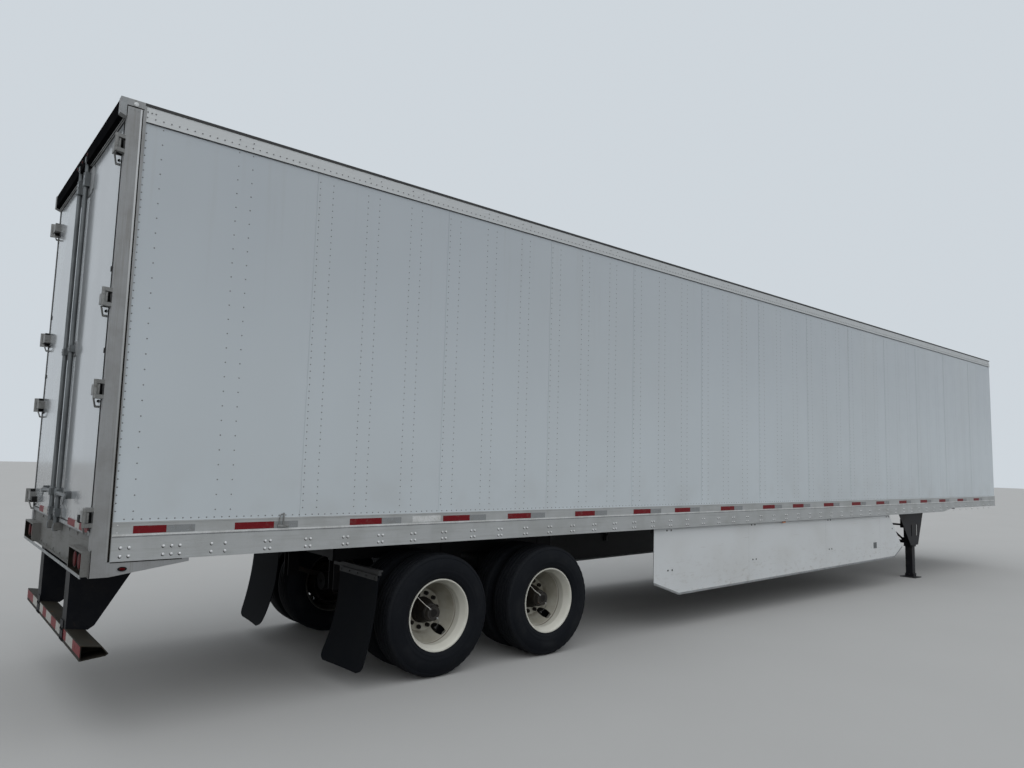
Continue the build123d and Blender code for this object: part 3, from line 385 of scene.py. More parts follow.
def paintedSteel(name):
    paint, dustTone, dusty, rusty, roughness, sheen = steelLooks[name]
    f = Finish(name)
    fine = f.grain(55.0, 5.0, rough=0.65)
    patches = f.grain(6.0, 5.0, rough=0.6)
    top = f.span(f.facing(2), -0.1, 0.9)
    dust = (f.span(patches, 0.4, 0.7) * 0.6 + top * 0.5 + f.span(fine, 0.5, 0.75) * 0.3) * dusty
    chips = f.span(patches * 0.6 + fine * 0.4, 0.60, 0.66) * rusty
    rust = f.node("ShaderNodeValToRGB", {"stops": rustTones}, [fine])
    colour = f.mix(chips, f.mix(dust, paint, dustTone), rust)
    rough = roughness + dust * 0.35 + chips * 0.25
    normal = f.bump(fine * 0.4 + patches * 0.2 - chips * 0.5, 0.0012, 0.7)
    return f.set({"Base Color": colour, "Roughness": rough, "Normal": normal, "Specular IOR Level": sheen})


# Rubber: its black, dust on it, how dusty, roughness, sheen
rubberLooks = {
    "tyreRubber": ((0.0030, 0.0040, 0.0064), (0.021, 0.022, 0.0235), 0.38, 0.68, 0.14),
    "flapRubber": ((0.0050, 0.0060, 0.0080), (0.016, 0.016, 0.0155), 0.35, 0.65, 0.04),
    # the seals' rubber, also the black of the painted shadow strips on the doors
    "sealRubberAndShade": ((0.0060, 0.0060, 0.0062), (0.032, 0.030, 0.028), 0.3, 0.55, 0.16),
}


def rubber(name):
    black, dustTone, dusty, roughness, sheen = rubberLooks[name]
    f = Finish(name)
    fine = f.grain(90.0, 4.0, rough=0.6)
    patches = f.grain(5.0, 4.0)
    dust = (f.span(patches, 0.38, 0.7) * 0.6 + f.span(fine, 0.42, 0.7) * 0.4) * dusty
    if name == "tyreRubber":
        radius = f.spoke()
        treadDust = f.span(radius, 0.470, 0.500)
        rings = f.span(abs(radius - 0.40), 0.05, 0.0) * 0.3
        dust = dust * 0.55 + treadDust * f.span(fine, 0.3, 0.7) * 0.5 + rings * f.span(patches, 0.4, 0.7)
    colour = f.mix(dust, black, dustTone)
    normal = f.bump(fine, 0.0008, 0.6)
    rough = roughness + dust * 0.2
    return f.set({"Base Color": colour, "Roughness": rough, "Normal": normal, "Specular IOR Level": sheen})


rimLook = {
    "cream": (0.60, 0.585, 0.520), "shade": (0.46, 0.437, 0.365), "brown": (0.075, 0.053, 0.031),
    # the dish's darker tone is dirt and painted shade; grime, near black, is painted shade on the inner wheels
    "rust": (0.12, 0.045, 0.02), "soilAndShade": (0.185, 0.170, 0.130), "grime": (0.014, 0.012, 0.010),
    "discEdge": 0.185, "crease": 0.150, "creaseRadius": 0.240,
}


def rimPaint():
    f = Finish("rimCream")
    radius = f.spoke()
    fine = f.grain(34.0, 3.0, rough=0.5)
    patches = f.grain(7.0, 3.0, rough=0.5)
    ring = f.span(abs(radius - rimLook["discEdge"]), 0.016, 0.002) * f.span(patches, 0.3, 0.6) * 0.6
    reach = abs(f.axis(1)) - trackReach
    low = f.span(f.axis(2), 0.62, 0.30)
    crease = f.span(abs(abs(reach) - rimLook["crease"]), 0.0085, 0.0035)
    crease = crease * (radius > rimLook["creaseRadius"]) * (low * 0.35 + 0.65)
    centre = f.span(radius, 0.185, 0.11) * f.span(patches * 0.7 + fine * 0.3, 0.35, 0.65) * 0.45
    soil = ring.most(crease).most(centre)
    chips = f.span(fine, 0.72, 0.78) * f.span(patches, 0.5, 0.65)
    # painted shade with dirt: the dish inside the well is darkened, most above the axle
    shade = f.span(patches, 0.2, 0.7) * 0.25 + f.span(f.axis(2), 0.42, 0.60) * 0.2 + 0.5
    dishSoilAndShade = f.span(radius, 0.2535, 0.2495) * shade
    paint = f.mix(f.span(patches, 0.35, 0.75) * 0.3, rimLook["cream"], rimLook["shade"])
    colour = f.mix(soil * 0.8, f.mix(dishSoilAndShade, paint, rimLook["soilAndShade"]), rimLook["brown"])
    colour = f.mix(chips, colour, rimLook["rust"])
    colour = f.mix(f.span(reach, 0.006, -0.002) * 0.95, colour, rimLook["grime"])  # painted shade: the inner wheels are near black, over their caked dirt
    normal = f.bump(fine * 0.3 - chips, 0.0008, 0.6)
    return f.set({"Base Color": colour, "Roughness": 0.36 + soil * 0.35, "Normal": normal, "Coat Weight": 0.2})


deckLook = {
    "board": 0.0349, "boardLength": 1.9, "scuff": (0.11, 0.085, 0.06),
    "tones": ((0.0, (0.23, 0.125, 0.055)), (0.5, (0.33, 0.19, 0.09)), (1.0, (0.42, 0.27, 0.145))),
}


def deckWood():
    f = Finish("deckWood")
    x, y = f.axis(0), f.axis(1)
    strip = (y / deckLook["board"]).whole()
    block = (x / deckLook["boardLength"] + f.chance(strip) * 7.0).whole()
    tone = f.chance(strip * 13.0 + block)
    fibre = f.grain(30.0, 6.0, (0.12, 2.5, 2.5), 0.6)
    wood = f.node("ShaderNodeValToRGB", {"stops": deckLook["tones"]}, [tone * 0.55 + fibre * 0.45])
    worn = f.span(f.grain(3.0, 6.0, (0.5, 1.0, 1.0), 0.7), 0.48, 0.72)
    joint = f.span(abs(y / deckLook["board"] - strip - 0.5), 0.47, 0.5)
    colour = f.mix((worn * 0.55).most(joint * 0.7), wood, deckLook["scuff"])
    normal = f.bump(fibre * 0.3 - joint, 0.0012, 0.7)
    return f.set({"Base Color": colour, "Roughness": 0.5 + worn * 0.2, "Normal": normal})


lensTones = {
    "red": {"deep": (0.050, 0.0015, 0.002), "bright": (0.12, 0.004, 0.005)},
    "amber": {"deep": (0.55, 0.13, 0.005), "bright": (0.85, 0.30, 0.03)},
    "clear": {"deep": (0.62, 0.63, 0.63), "bright": (0.86, 0.87, 0.87)},
}
sideLampSpan = (-2.0, 2.0)  # the amber lamps half way along the rails
capLampHeight = 4.03


def amberPlastic():
    f = Finish("lampAmber")
    prisms = f.cells(160.0)
    prisms = f.cells(160.0)
    colour = f.mix(f.span(prisms, 0.1, 0.6), lensTones["amber"]["bright"], lensTones["amber"]["deep"])
    normal = f.bump(prisms, 0.0015, 0.5)
    return f.set({"Base Color": colour, "Roughness": 0.18 + prisms * 0.1, "Normal": normal, "Coat Weight": 0.8})


def lensPlastic():
    f = Finish("lampLens")
    x, y, z = f.axis(0), f.axis(1), f.axis(2)
    prisms = f.cells(160.0)
    middle = (x > sideLampSpan[0]) * (x < sideLampSpan[1])
    cap = (z > capLampHeight) * (abs(y) > 1.2)
    tones = []
    for shade in ("deep", "bright"):
        red = f.mix(middle, lensTones["red"][shade], lensTones["amber"][shade])
        tones.append(f.mix(cap, red, lensTones["clear"][shade]))
    colour = f.mix(f.span(prisms, 0.1, 0.6), tones[1], tones[0])
    normal = f.bump(prisms, 0.0015, 0.5)
    rough = 0.34 + prisms * 0.12
    return f.set({"Base Color": colour, "Roughness": rough, "Normal": normal, "Specular IOR Level": 0.03})


# Reflecting tape: colour, colour of its cells, roughness
tapeLooks = {
    "tapeRed": ((0.135, 0.003, 0.007), (0.205, 0.007, 0.012), 0.45),
    "tapeSilver": ((0.22, 0.23, 0.232), (0.31, 0.32, 0.325), 0.4),
    "tapeWhite": ((0.36, 0.35, 0.325), (0.45, 0.445, 0.415), 0.45),
}
tapeDirt = (0.16, 0.13, 0.11)


def tapeFilm(name):
    tone, cell, roughness = tapeLooks[name]
    f = Finish(name)
    cells = f.cells(170.0, feature="DISTANCE_TO_EDGE")
    dirt = f.span(f.grain(25.0, 5.0), 0.5, 0.8)
    colour = f.mix(dirt * 0.35, f.mix(f.span(cells, 0.02, 0.08), cell, tone), tapeDirt)
    normal = f.bump(cells, 0.0004, 0.5)
    rough = roughness + dirt * 0.25
    return f.set({"Base Color": colour, "Roughness": rough, "Normal": normal, "Specular IOR Level": 0.2})


# Plain finishes: two tones, roughness, how metallic, sheen
plainLooks = {
    "stripGrey": ((0.30, 0.31, 0.315), (0.21, 0.215, 0.215), 0.5, 0.2, 0.5),
    "trimBright": ((0.68, 0.685, 0.68), (0.50, 0.50, 0.48), 0.35, 0.4, 0.5),
    # black of the roof's edge strip, also the painted shadow line under the top rail
    "edgeAndShadowBlack": ((0.014, 0.014, 0.015), (0.036, 0.035, 0.033), 0.55, 0.0, 0.5),
    "liningWhite": ((0.60, 0.60, 0.575), (0.47, 0.455, 0.42), 0.5, 0.0, 0.5),
    "hoseLight": ((0.66, 0.65, 0.61), (0.44, 0.42, 0.37), 0.45, 0.0, 0.5),
    "plateBlank": ((0.42, 0.43, 0.43), (0.30, 0.30, 0.295), 0.4, 0.5, 0.5),
    # black that stands in for shade in gaps, hollows and under rivet heads
    "shadeBlack": ((0.012, 0.011, 0.010), (0.022, 0.019, 0.015), 0.8, 0.0, 0.0),
}


def plainFinish(name):
    first, second, roughness, metallic, sheen = plainLooks[name]
    f = Finish(name)
    clouds = f.grain(8.0, 5.0, rough=0.6)
    fine = f.grain(80.0, 4.0)
    amount = f.span(clouds * 0.6 + fine * 0.4, 0.36, 0.66)
    values = {"Base Color": f.mix(amount, first, second), "Roughness": roughness + amount * 0.15}
    values["Normal"] = f.bump(fine, 0.0006, 0.5)
    return f.set({**values, "Metallic": metallic, "Specular IOR Level": sheen})


finishes = {"wallPaint": wallPaint(), "doorPaint": doorPaint(), "skirtPaint": skirtPaint(), "rimCream": rimPaint()}
finishes.update({"deckWood": deckWood(), "lampLens": lensPlastic(), "lampAmber": amberPlastic()})
finishes.update({name: bareMetal(name) for name in metalLooks})
finishes.update({name: paintedSteel(name) for name in steelLooks})
finishes.update({name: rubber(name) for name in rubberLooks})
finishes.update({name: tapeFilm(name) for name in tapeLooks})
finishes.update({name: plainFinish(name) for name in plainLooks})
print(len(finishes), "finishes made")

# The finish of each material slot in the record
slotFinishes = {
    "wall_white": "wallPaint", "rail_aluminium": "railAluminium", "post_aluminium": "postAluminium",
    "roof_aluminium": "roofAluminium", "deck_wood": "deckWood", "frame_steel": "frameSteel",
    "coupler_steel": "couplerSteel", "kingpin_steel": "kingpinSteel", "hinge_metal": "hingeMetal",
    "header_black": "headerBlack", "sill_aluminium": "sillSteel", "guard_steel": "guardSteel",
    "strut_black": "strutBlack", "lamp_lens": "lampLens", "leg_black": "legBlack", "crank_steel": "crankSteel",
    "skirt_white": "skirtPaint", "bracket_steel": "bracketSteel", "coupling_metal": "couplingMetal",
    "frame_black": "frameBlack", "spring_steel": "springSteel", "axle_black": "axleBlack",
    "chamber_black": "chamberBlack", "hanger_steel": "hangerSteel", "flap_rubber": "flapRubber",
    "door_white": "doorPaint", "rod_galvanised": "rodGalvanised", "tyre_rubber": "tyreRubber",
    "rim_cream": "rimCream", "hub_iron": "hubIron",
}


def dressFrame():
    for part in frame["record"]["subparts"]:
        data = frame["nodes"][part["node"]].data
        data.materials.clear()
        data.materials.append(finishes[slotFinishes[part["material_slot"]]])


dressFrame()
print("frame dressed")


# Making pieces

def circlePoints(count, start=0.0):
    turns = [start + 2 * math.pi * step / count for step in range(count)]
    return [(math.cos(turn), math.sin(turn)) for turn in turns]


def spaced(first, last, pitch):
    return [first + pitch * step for step in range(int((last - first) / pitch + 0.001) + 1)]


class Form:  # closed solids, gathered for one piece
    def __init__(self):
        self.points, self.faces, self.marks = [], [], []
        self.mark = 0  # which finish the next solid takes

    def add(self, points, faces):
        first = len(self.points)
        self.points += [Vector(point) for point in points]
        self.faces += [[first + index for index in face] for face in faces]
        self.marks += [self.mark] * len(faces)

    def loft(self, rings, loop=False):  # a skin over rings of equal length
        count, last = len(rings[0]), len(rings) - 1
        faces = []
        for step in range(len(rings) if loop else last):
            here, there = step * count, (step + 1) % len(rings) * count
            for side in range(count):
                after = (side + 1) % count
                faces.append((here + side, here + after, there + after, there + side))
        if not loop:
            faces.append(range(count)[::-1])
            faces.append(range(last * count, (last + 1) * count))
        self.add([point for ring in rings for point in ring], faces)

    def box(self, low, high):
        corners = ((low[0], low[1]), (high[0], low[1]), (high[0], high[1]), (low[0], high[1]))
        self.loft([[(x, y, z) for x, y in corners] for z in (low[2], high[2])])

    def slab(self, side, ends, reach, heights):  # a box on one side of the body
        low, high = across(side, *reach)
        self.box((ends[0], low, heights[0]), (ends[1], high, heights[1]))

    def prism(self, outline, axis, low, high):  # outline in the plane across the axis
        rings = []
        for level in (low, high):
            ring = [list(point) for point in outline]
            for point in ring:
                point.insert(axis, level)
            rings.append(ring)
        self.loft(rings)

    def plate(self, side, outline, reach):  # stations and heights, with a thickness across the body
        self.prism([(forward(station), height) for station, height in outline], 1, *across(side, *reach))

    def turned(self, profile, centre, axis, steps=24, loop=False, start=0.0):  # (reach, radius) pairs
        across = [index for index in range(3) if index != axis]
        rings = []
        for reach, radius in profile:
            ring = []
            for c, s in circlePoints(steps, start):
                point = list(centre)
                point[axis] += reach
                point[across[0]] += radius * c
                point[across[1]] += radius * s
                ring.append(point)
            rings.append(ring)
        self.loft(rings, loop)

    def disc(self, centre, axis, half, radius, steps):
        self.turned(((-half, radius), (half, radius)), centre, axis, steps)

    def lens(self, place, axis, profiles, marks, steps):  # a ring and what it holds, each with its own finish
        for mark, profile in zip(marks, profiles):
            self.mark = mark
            self.turned(profile, place, axis, steps)

    def tube(self, path, radius, sides=8):
        path = [Vector(point) for point in path]
        rings, side = [], None
        for index, point in enumerate(path):
            ahead = (path[min(index + 1, len(path) - 1)] - path[max(index - 1, 0)]).normalized()
            if side is None:
                side = ahead.orthogonal().normalized()
            side = (side - ahead * side.dot(ahead)).normalized()
            other = ahead.cross(side)
            rings.append([point + side * (radius * c) + other * (radius * s) for c, s in circlePoints(sides)])
        self.loft(rings)

    def domes(self, places, out, look, sides=8, low=False):  # rivet heads, sunk a little into what they hold
        out = Vector(out)
        side = out.orthogonal().normalized()
        other = out.cross(side)
        circle = [side * c + other * s for c, s in circlePoints(sides)]
        levels = ((1.0, -0.0003), (0.98, look["height"] * 0.35), (0.62, look["height"] * 0.86))
        if low:
            levels = ((1.0, -0.0003), (0.7, look["height"] * 0.75))
        for place in places:
            place = Vector(place)
            points = [place + arm * (look["radius"] * wide) + out * high for wide, high in levels for arm in circle]
            points.append(place + out * look["height"])
            faces = [range(sides)[::-1]]
            top = (len(levels) - 1) * sides
            for ring in range(0, top, sides):
                for step in range(sides):
                    here, after = ring + step, ring + (step + 1) % sides
                    faces.append((here, after, after + sides, here + sides))
            faces += [(top + step, top + (step + 1) % sides, top + sides) for step in range(sides)]
            self.add(points, faces)

    def bolt(self, place, axis, reach, radius, height):  # hexagon head on a washer, along +axis or -axis
        way = 1 if reach > 0 else -1
        self.turned(((0, radius * 1.35), (way * height * 0.22, radius * 1.35)), place, axis, 14)
        head = ((way * height * 0.2, radius), (way * height * 0.85, radius), (way * height, radius * 0.82))
        self.turned(head, place, axis, 6, start=0.3)

    def join(self, other):
        first = len(self.points)
        self.points += other.points
        self.faces += [[first + index for index in face] for face in other.faces]
        self.marks += other.marks

    def mirrored(self):  # the same again on the other side of the body
        count, faces = len(self.points), len(self.faces)
        self.points += [Vector((point[0], -point[1], point[2])) for point in self.points]
        self.faces += [[count + index for index in reversed(face)] for face in self.faces[:faces]]
        self.marks += self.marks[:faces]


def makePiece(name, form, coats, body, replaced=(), bevel=0.0, smooth=38.0):
    mesh = bpy.data.meshes.new(name)
    mesh.from_pydata(form.points, [], [tuple(face) for face in form.faces])
    for coat in coats:
        mesh.materials.append(finishes[coat])
    mesh.polygons.foreach_set("material_index", form.marks)
    work = bmesh.new()
    work.from_mesh(mesh)
    bmesh.ops.recalc_face_normals(work, faces=work.faces)
    if bevel:
        sharp = [edge for edge in work.edges if edge.is_manifold and edge.calc_face_angle() > math.radians(smooth)]
        bmesh.ops.bevel(work, geom=sharp, offset=bevel, segments=2, profile=0.5, affect="EDGES", clamp_overlap=True)
    work.to_mesh(mesh)
    work.free()
    mesh.shade_smooth()
    mesh.set_sharp_from_angle(angle=math.radians(smooth))
    piece = bpy.data.objects.new(name, mesh)
    bpy.context.scene.collection.objects.link(piece)
    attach(piece, body)
    if replaced:
        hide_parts(*replaced)
    return piece


def smoothPath(points, cuts=6):  # a rounder line through the same points
    points = [Vector(point) for point in points]
    line = []
    for index in range(len(points) - 1):
        before, after = points[max(index - 1, 0)], points[min(index + 2, len(points) - 1)]
        here, there = points[index], points[index + 1]
        for step in range(cuts):
            t = step / cuts
            line.append(0.5 * (2 * here + (there - before) * t + (2 * before - 5 * here + 4 * there - after) * t ** 2
                               + (3 * here - before - 3 * there + after) * t ** 3))
    return line + [points[-1]]


# Rivets of the side sheets: columns at the edges, beside each seam and on the posts between. Their dark heads are dirt
# and painted shade.

sheetRivets = {
    "radius": 0.0055, "height": 0.0022, "pitch": 0.0508, "foot": 1.374, "head": 3.962, "edgeColumn": 0.166,
    "wideColumns": (0.270, 0.782, 0.884), "wide": 0.1016, "footStart": 0.22, "lastColumn": 16.02,
    "columns": (0.022, 0.132, 0.439, 0.544, 0.850, 0.955),
}


def besideSeams(distances):
    return [firstSeam + seamPitch * number + ahead for number in range(seamCount) for ahead in distances]


def sheetRivetPlaces():
    look = sheetRivets
    foot, head, last = look["foot"], look["head"], look["lastColumn"]
    columns = [look["edgeColumn"]] + besideSeams(look["columns"])
    heights = spaced(foot + look["pitch"], head, look["pitch"])
    places = [(station, height) for station in columns if station < last for height in heights]
    heights = spaced(foot + look["pitch"], head + 0.010, look["wide"])
    places += [(station, height) for station in look["wideColumns"] for height in heights]
    return places + [(station, foot) for station in spaced(look["footStart"], last, look["pitch"])]


for name, side in sides:
    form = Form()
    places = [(forward(station), side * sheetFace, height) for station, height in sheetRivetPlaces()]
    form.domes(places, (0, side, 0), sheetRivets, 6, low=True)
    makePiece(f"{name}_sheet_rivets", form, ["rivetDirtAndShade"], "body", smooth=60)
print("sheet rivets placed")


# Rails: rivets at each crossmember, strips on the edges, the reflecting tape between the beads and a hook

railRivets = {
    "radius": 0.0090, "height": 0.0050, "rows": (1.197, 1.144), "tight": 0.037, "firstPair": 1.145, "last": 15.95,
    # soil: a dark disc under each head, painted shadow with dirt
    "first": (0.213, 0.263, 0.467, 0.518, 0.570, 0.773, 0.865), "soil": 0.0098, "shadowShift": (-0.0030, -0.0036),
}
topRivets = {
    "radius": 0.0048, "height": 0.0022, "row": 4.021, "pitch": 0.0508, "first": 0.164, "last": 16.10,
    "upperRow": 4.058, "upper": (0.164, 0.190, 0.215, 0.779, 0.879),
}
smallRivets = {"radius": 0.0045, "height": 0.002, "rows": (1.338, 1.290), "station": 0.185}
edgeStrip = {"heights": (4.0950, 4.1143), "proud": 0.0009, "start": 0.147}  # black, along the roof
# painted light on the bottom rail's lip: a bright strip, partly its polished face, over a painted shadow strip
lipStrip = {"bright": (1.2695, 1.2815), "soil": (1.2610, 1.2695), "proud": 0.0008}
shadowHeights = (3.9846, 3.9888)  # dark line under the top rail


def railRivetForm(side):
    form = Form()
    look = railRivets
    stations = list(look["first"])
    for start in spaced(look["firstPair"], look["last"], crossPitch):
        stations += [start, start + look["tight"]]
    places = [(forward(station), side * railWeb, height) for station in stations for height in look["rows"]]
    form.domes(places, (0, side, 0), look, 12)
    form.mark = 1  # painted shadow: a dark disc under each head, shifted down and back, with its soil
    back, down = look["shadowShift"]
    for x, y, z in places:
        form.disc((x + back, y, z + down), 1, side * 0.0003, look["soil"], 12)
    form.mark = 0
    places = [(forward(smallRivets["station"]), side * railWeb, height) for height in smallRivets["rows"]]
    form.domes(places, (0, side, 0), smallRivets, 8)
    # the top rail's rivets, dark with dirt and painted shade
    form.mark = 2
    look = topRivets
    places = [(station, look["row"]) for station in spaced(look["first"], look["last"], look["pitch"])]
    upper = list(look["upper"]) + besideSeams(sheetRivets["columns"][2:])
    places += [(station, look["upperRow"]) for station in upper if station < look["last"]]
    form.domes([(forward(station), side * railFace, height) for station, height in places], (0, side, 0), look, 8)
    return form


def railStripForm(side):
    form = Form()
    ends = (forward(edgeStrip["start"]), topFront)
    form.slab(side, ends, (railFace - 0.002, railFace + edgeStrip["proud"]), edgeStrip["heights"])
    ends = (postFront + 0.001, noseFace - 0.070)
    # painted shadow: a black line under the top rail
    form.slab(side, ends, (sheetFace - 0.001, railFace + 0.0004), shadowHeights)
    # painted highlight on the lip, painted shadow below it
    for mark, key, face in ((1, "bright", railFace), (2, "soil", railWeb)):
        form.mark = mark
        form.slab(side, ends, (face - 0.0015, face + lipStrip["proud"] / mark), lipStrip[key])
    return form


for name, side in sides:
    makePiece(f"{name}_rail_rivets", railRivetForm(side), ["rivetAluminium", "shadeBlack", "rivetDirtAndShade"], "body",
              smooth=60)
    makePiece(f"{name}_rail_strips", railStripForm(side), ["edgeAndShadowBlack", "trimBright", "stripGrey"], "body")

tapeRow = {
    "heights": (1.2835, 1.3320), "thickness": 0.0009, "red": 0.280, "firstRed": 0.200, "silver": 0.18,
    "starts": (0.276, 0.92, 1.80, 2.67, 3.38, 4.24, 5.11, 5.81, 6.69, 7.61, 8.34, 9.18, 10.02, 10.83, 11.66, 12.50,
               13.31, 14.16, 14.98),
}
railHook = {"base": (1.226, 1.306, 1.2870, 1.3060), "pin": (1.2665, 0.0055, 1.392), "proud": (0.0098, 0.006)}
labelPlate = {"ends": (2.366, 2.645), "heights": (1.2870, 1.3360), "proud": 0.0012}


def railHookForm(side):  # it holds the opened door
    form = Form()
    first, last, low, high = railHook["base"]
    station, radius, top = railHook["pin"]
    base, pin = railHook["proud"]
    form.slab(side, run(first, last), (railFace - 0.004, railFace + base), (low, high))
    x, y = forward(station), side * (railFace + pin)
    form.tube([(x, y, low + 0.004), (x, y, top)], radius, 12)
    path = ((0.0, top - 0.014), (0.016, top - 0.010), (0.028, top - 0.028), (0.030, high + 0.004))
    form.tube(smoothPath([(x - back, y, height) for back, height in path]), radius * 0.7, 8)
    for place in (first + 0.013, last - 0.013):
        form.bolt((forward(place), side * (railFace + 0.0095), (low + high) / 2), 1, side, 0.0050, 0.0040)
    return form


def railTapeForm(side):
    form = Form()
    look = tapeRow
    face = (railWeb - 0.001, railWeb + look["thickness"])
    for start in look["starts"]:
        middle = start + look["red" if start > look["starts"][0] else "firstRed"]
        form.mark = 0
        form.slab(side, run(start, middle), face, look["heights"])
        form.mark = 1
        form.slab(side, run(middle, middle + look["silver"]), face, look["heights"])
    form.mark = 2
    face = (railWeb - 0.001, railWeb + labelPlate["proud"])
    form.slab(side, run(*labelPlate["ends"]), face, labelPlate["heights"])
    return form


for name, side in sides:
    makePiece(f"{name}_rail_tape", railTapeForm(side), ["tapeRed", "tapeSilver", "trimBright"], "body")
    makePiece(f"{name}_rail_hook", railHookForm(side), ["hingeMetal"], "body", bevel=0.0008)
print("rails dressed")


# Rear posts: a bright trim strip near their front edge, painted shadow in the joint beside it, and the cap's lines, its
# dark ones painted shade

postTrim = {
    "heights": (1.115, 4.058), "strip": ((0.1290, 0.1410), (0.1200, 0.1310)), "proud": (0.0018, 0.0010),
    "joint": ((0.1410, 0.1540), (0.1310, 0.1370)), "capRivetHeight": 4.045, "capRivets": (0.058, 0.083, 0.108),
    "capJoint": (4.0615, 4.0685), "capEdge": (0.0380, 0.0430), "boxJoint": (0.0455, 0.0500, 1.021, 1.190),
    "footShadowGap": (0.157, 0.585),
}


def postForm(side):
    form = Form()
    look = postTrim
    foot, head = look["heights"]
    # the joint strip is painted shadow in the gap between post and rail
    for mark, low, ends in ((0, foot, look["strip"]), (1, railFoot, look["joint"])):
        form.mark = mark
        (lowRear, lowFront), (highRear, highFront) = ends
        outline = [(lowRear, low), (lowFront, low), (highFront, head), (highRear, head)]
        form.plate(side, outline, (railFace - 0.004, railFace + look["proud"][mark]))
    form.mark = 2
    places = [(forward(station), side * railFace, look["capRivetHeight"]) for station in look["capRivets"]]
    form.domes(places, (0, side, 0), smallRivets, 8)
    reach = (railFace - 0.002, railFace + 0.0006)
    rear, front = look["capEdge"]
    form.plate(side, [(0.0008, 4.007), (rear, 3.990), (rear, 4.113), (0.0008, 4.113)], reach)
    # painted shade: black lines at the cap's joint, beside the lamp box and in the gap under the rail's foot
    form.mark = 1
    low, high = look["capJoint"]
    form.plate(side, [(rear, 3.990), (front, 3.988), (front, high), (rear, high)], reach)
    form.slab(side, run(front, 0.1415), reach, (low, high))
    first, last, low, high = look["boxJoint"]
    form.slab(side, run(first, last), reach, (low, high))
    reach, heights = (railFace - 0.012, railFace - 0.0005), (railFoot - 0.006, railFoot + 0.001)
    form.slab(side, run(*look["footShadowGap"]), reach, heights)
    return form


for name, side in sides:
    makePiece(f"{name}_post_trim", postForm(side), ["postStrip", "shadeBlack", "stripGrey"], "body")
print("posts dressed")


# Tyres: ribs and grooves across the tread, notched shoulders, a bulging sidewall with its rings

tyreLook = {
    "steps": 144, "spacing": 0.343, "notchEvery": 3, "notchDepth": 0.0035,
    "tread": ((0.000, 0.5050), (0.017, 0.5050), (0.020, 0.4930), (0.029, 0.4930), (0.032, 0.5045), (0.058, 0.5035),
              (0.061, 0.4915), (0.070, 0.4915), (0.073, 0.5028), (0.098, 0.5005)),
    "shoulder": ((0.1085, 0.4975), (0.1165, 0.4905), (0.1220, 0.4790)),
    "wall": ((0.1235, 0.4700), (0.1220, 0.4680), (0.1285, 0.4570), (0.1355, 0.4380), (0.1395, 0.4180),
             (0.1418, 0.3980), (0.1410, 0.3820), (0.1385, 0.3660), (0.1398, 0.3620), (0.1390, 0.3580),
             (0.1350, 0.3440), (0.1310, 0.3330), (0.1322, 0.3300), (0.1300, 0.3250), (0.1225, 0.3120),
             (0.1150, 0.3030), (0.1080, 0.2975), (0.1020, 0.2925)),
    "bead": 0.2890,
}


def tyreRings(middle, height, stationX):
    half = [(reach, radius, False) for reach, radius in tyreLook["tread"]]
    half += [(reach, radius, True) for reach, radius in tyreLook["shoulder"]]
    half += [(reach, radius, False) for reach, radius in tyreLook["wall"]]
    profile = [(-reach, radius, notched) for reach, radius, notched in reversed(half[1:])] + half
    profile += [(0.095, tyreLook["bead"], False), (-0.095, tyreLook["bead"], False)]
    rings = []
    for reach, radius, notched in profile:
        ring = []
        for step, (c, s) in enumerate(circlePoints(tyreLook["steps"])):
            cut = tyreLook["notchDepth"] if notched and step % tyreLook["notchEvery"] == 0 else 0.0
            ring.append((stationX + (radius - cut) * c, middle + reach, height + (radius - cut) * s))
        rings.append(ring)
    return rings


for end, axle in zip(("rear", "front"), axlePlaces):
    for name, side in sides:
        form = Form()
        low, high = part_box(f"{end}_{name}_tyres")
        middle = (low.y + high.y) / 2
        for offset in (-tyreLook["spacing"] / 2, tyreLook["spacing"] / 2):
            form.loft(tyreRings(middle + offset, axle.z, axle.x), loop=True)
        makePiece(f"{end}_{name}_tyre_pair", form, ["tyreRubber"], f"{end}_{name}_wheels",
                  (f"{end}_{name}_tyres",))
print("tyres made")


# Wheels: studs and washers at the nuts, the hub cap's ring of bolts, and two thin inflation pipes

wheelWork = {
    "nuts": 10, "nutCircle": 0.142875, "nutTilt": 23.0, "capFace": 0.196,
    # profiles: reach from the middle of the wheel, radius
    "washer": ((0.011, 0.026), (0.0145, 0.026)),
    "stud": ((0.030, 0.0105), (0.046, 0.0105), (0.050, 0.00735)),
    "flange": ((0.036, 0.1035), (0.052, 0.1035), (0.056, 0.1010), (0.057, 0.0900)),
    "nose": ((0.136, 0.078), (0.148, 0.078), (0.1505, 0.074)),
    "cap": ((0.150, 0.0705), (0.160, 0.0705), (0.162, 0.0642), (0.190, 0.0642), (0.1966, 0.0590),
            (0.1966, 0.0430), (0.2010, 0.0410), (0.2010, 0.0350), (0.1980, 0.0330), (0.1980, 0.0120)),
    "window": ((0.1975, 0.0325), (0.1990, 0.0315), (0.1995, 0.0100)),
    # rings of bolts: count, ring, share of a step, reach, radius, height
    "flangeBolts": (10, 0.086, 0.5, 0.056, 0.0070, 0.010),
    "capBolts": (6, 0.0525, 0, 0.1963, 0.0050, 0.0040),
}


def polar(axle, radius, turn):
    return axle.x + radius * math.cos(turn), axle.z + radius * math.sin(turn)


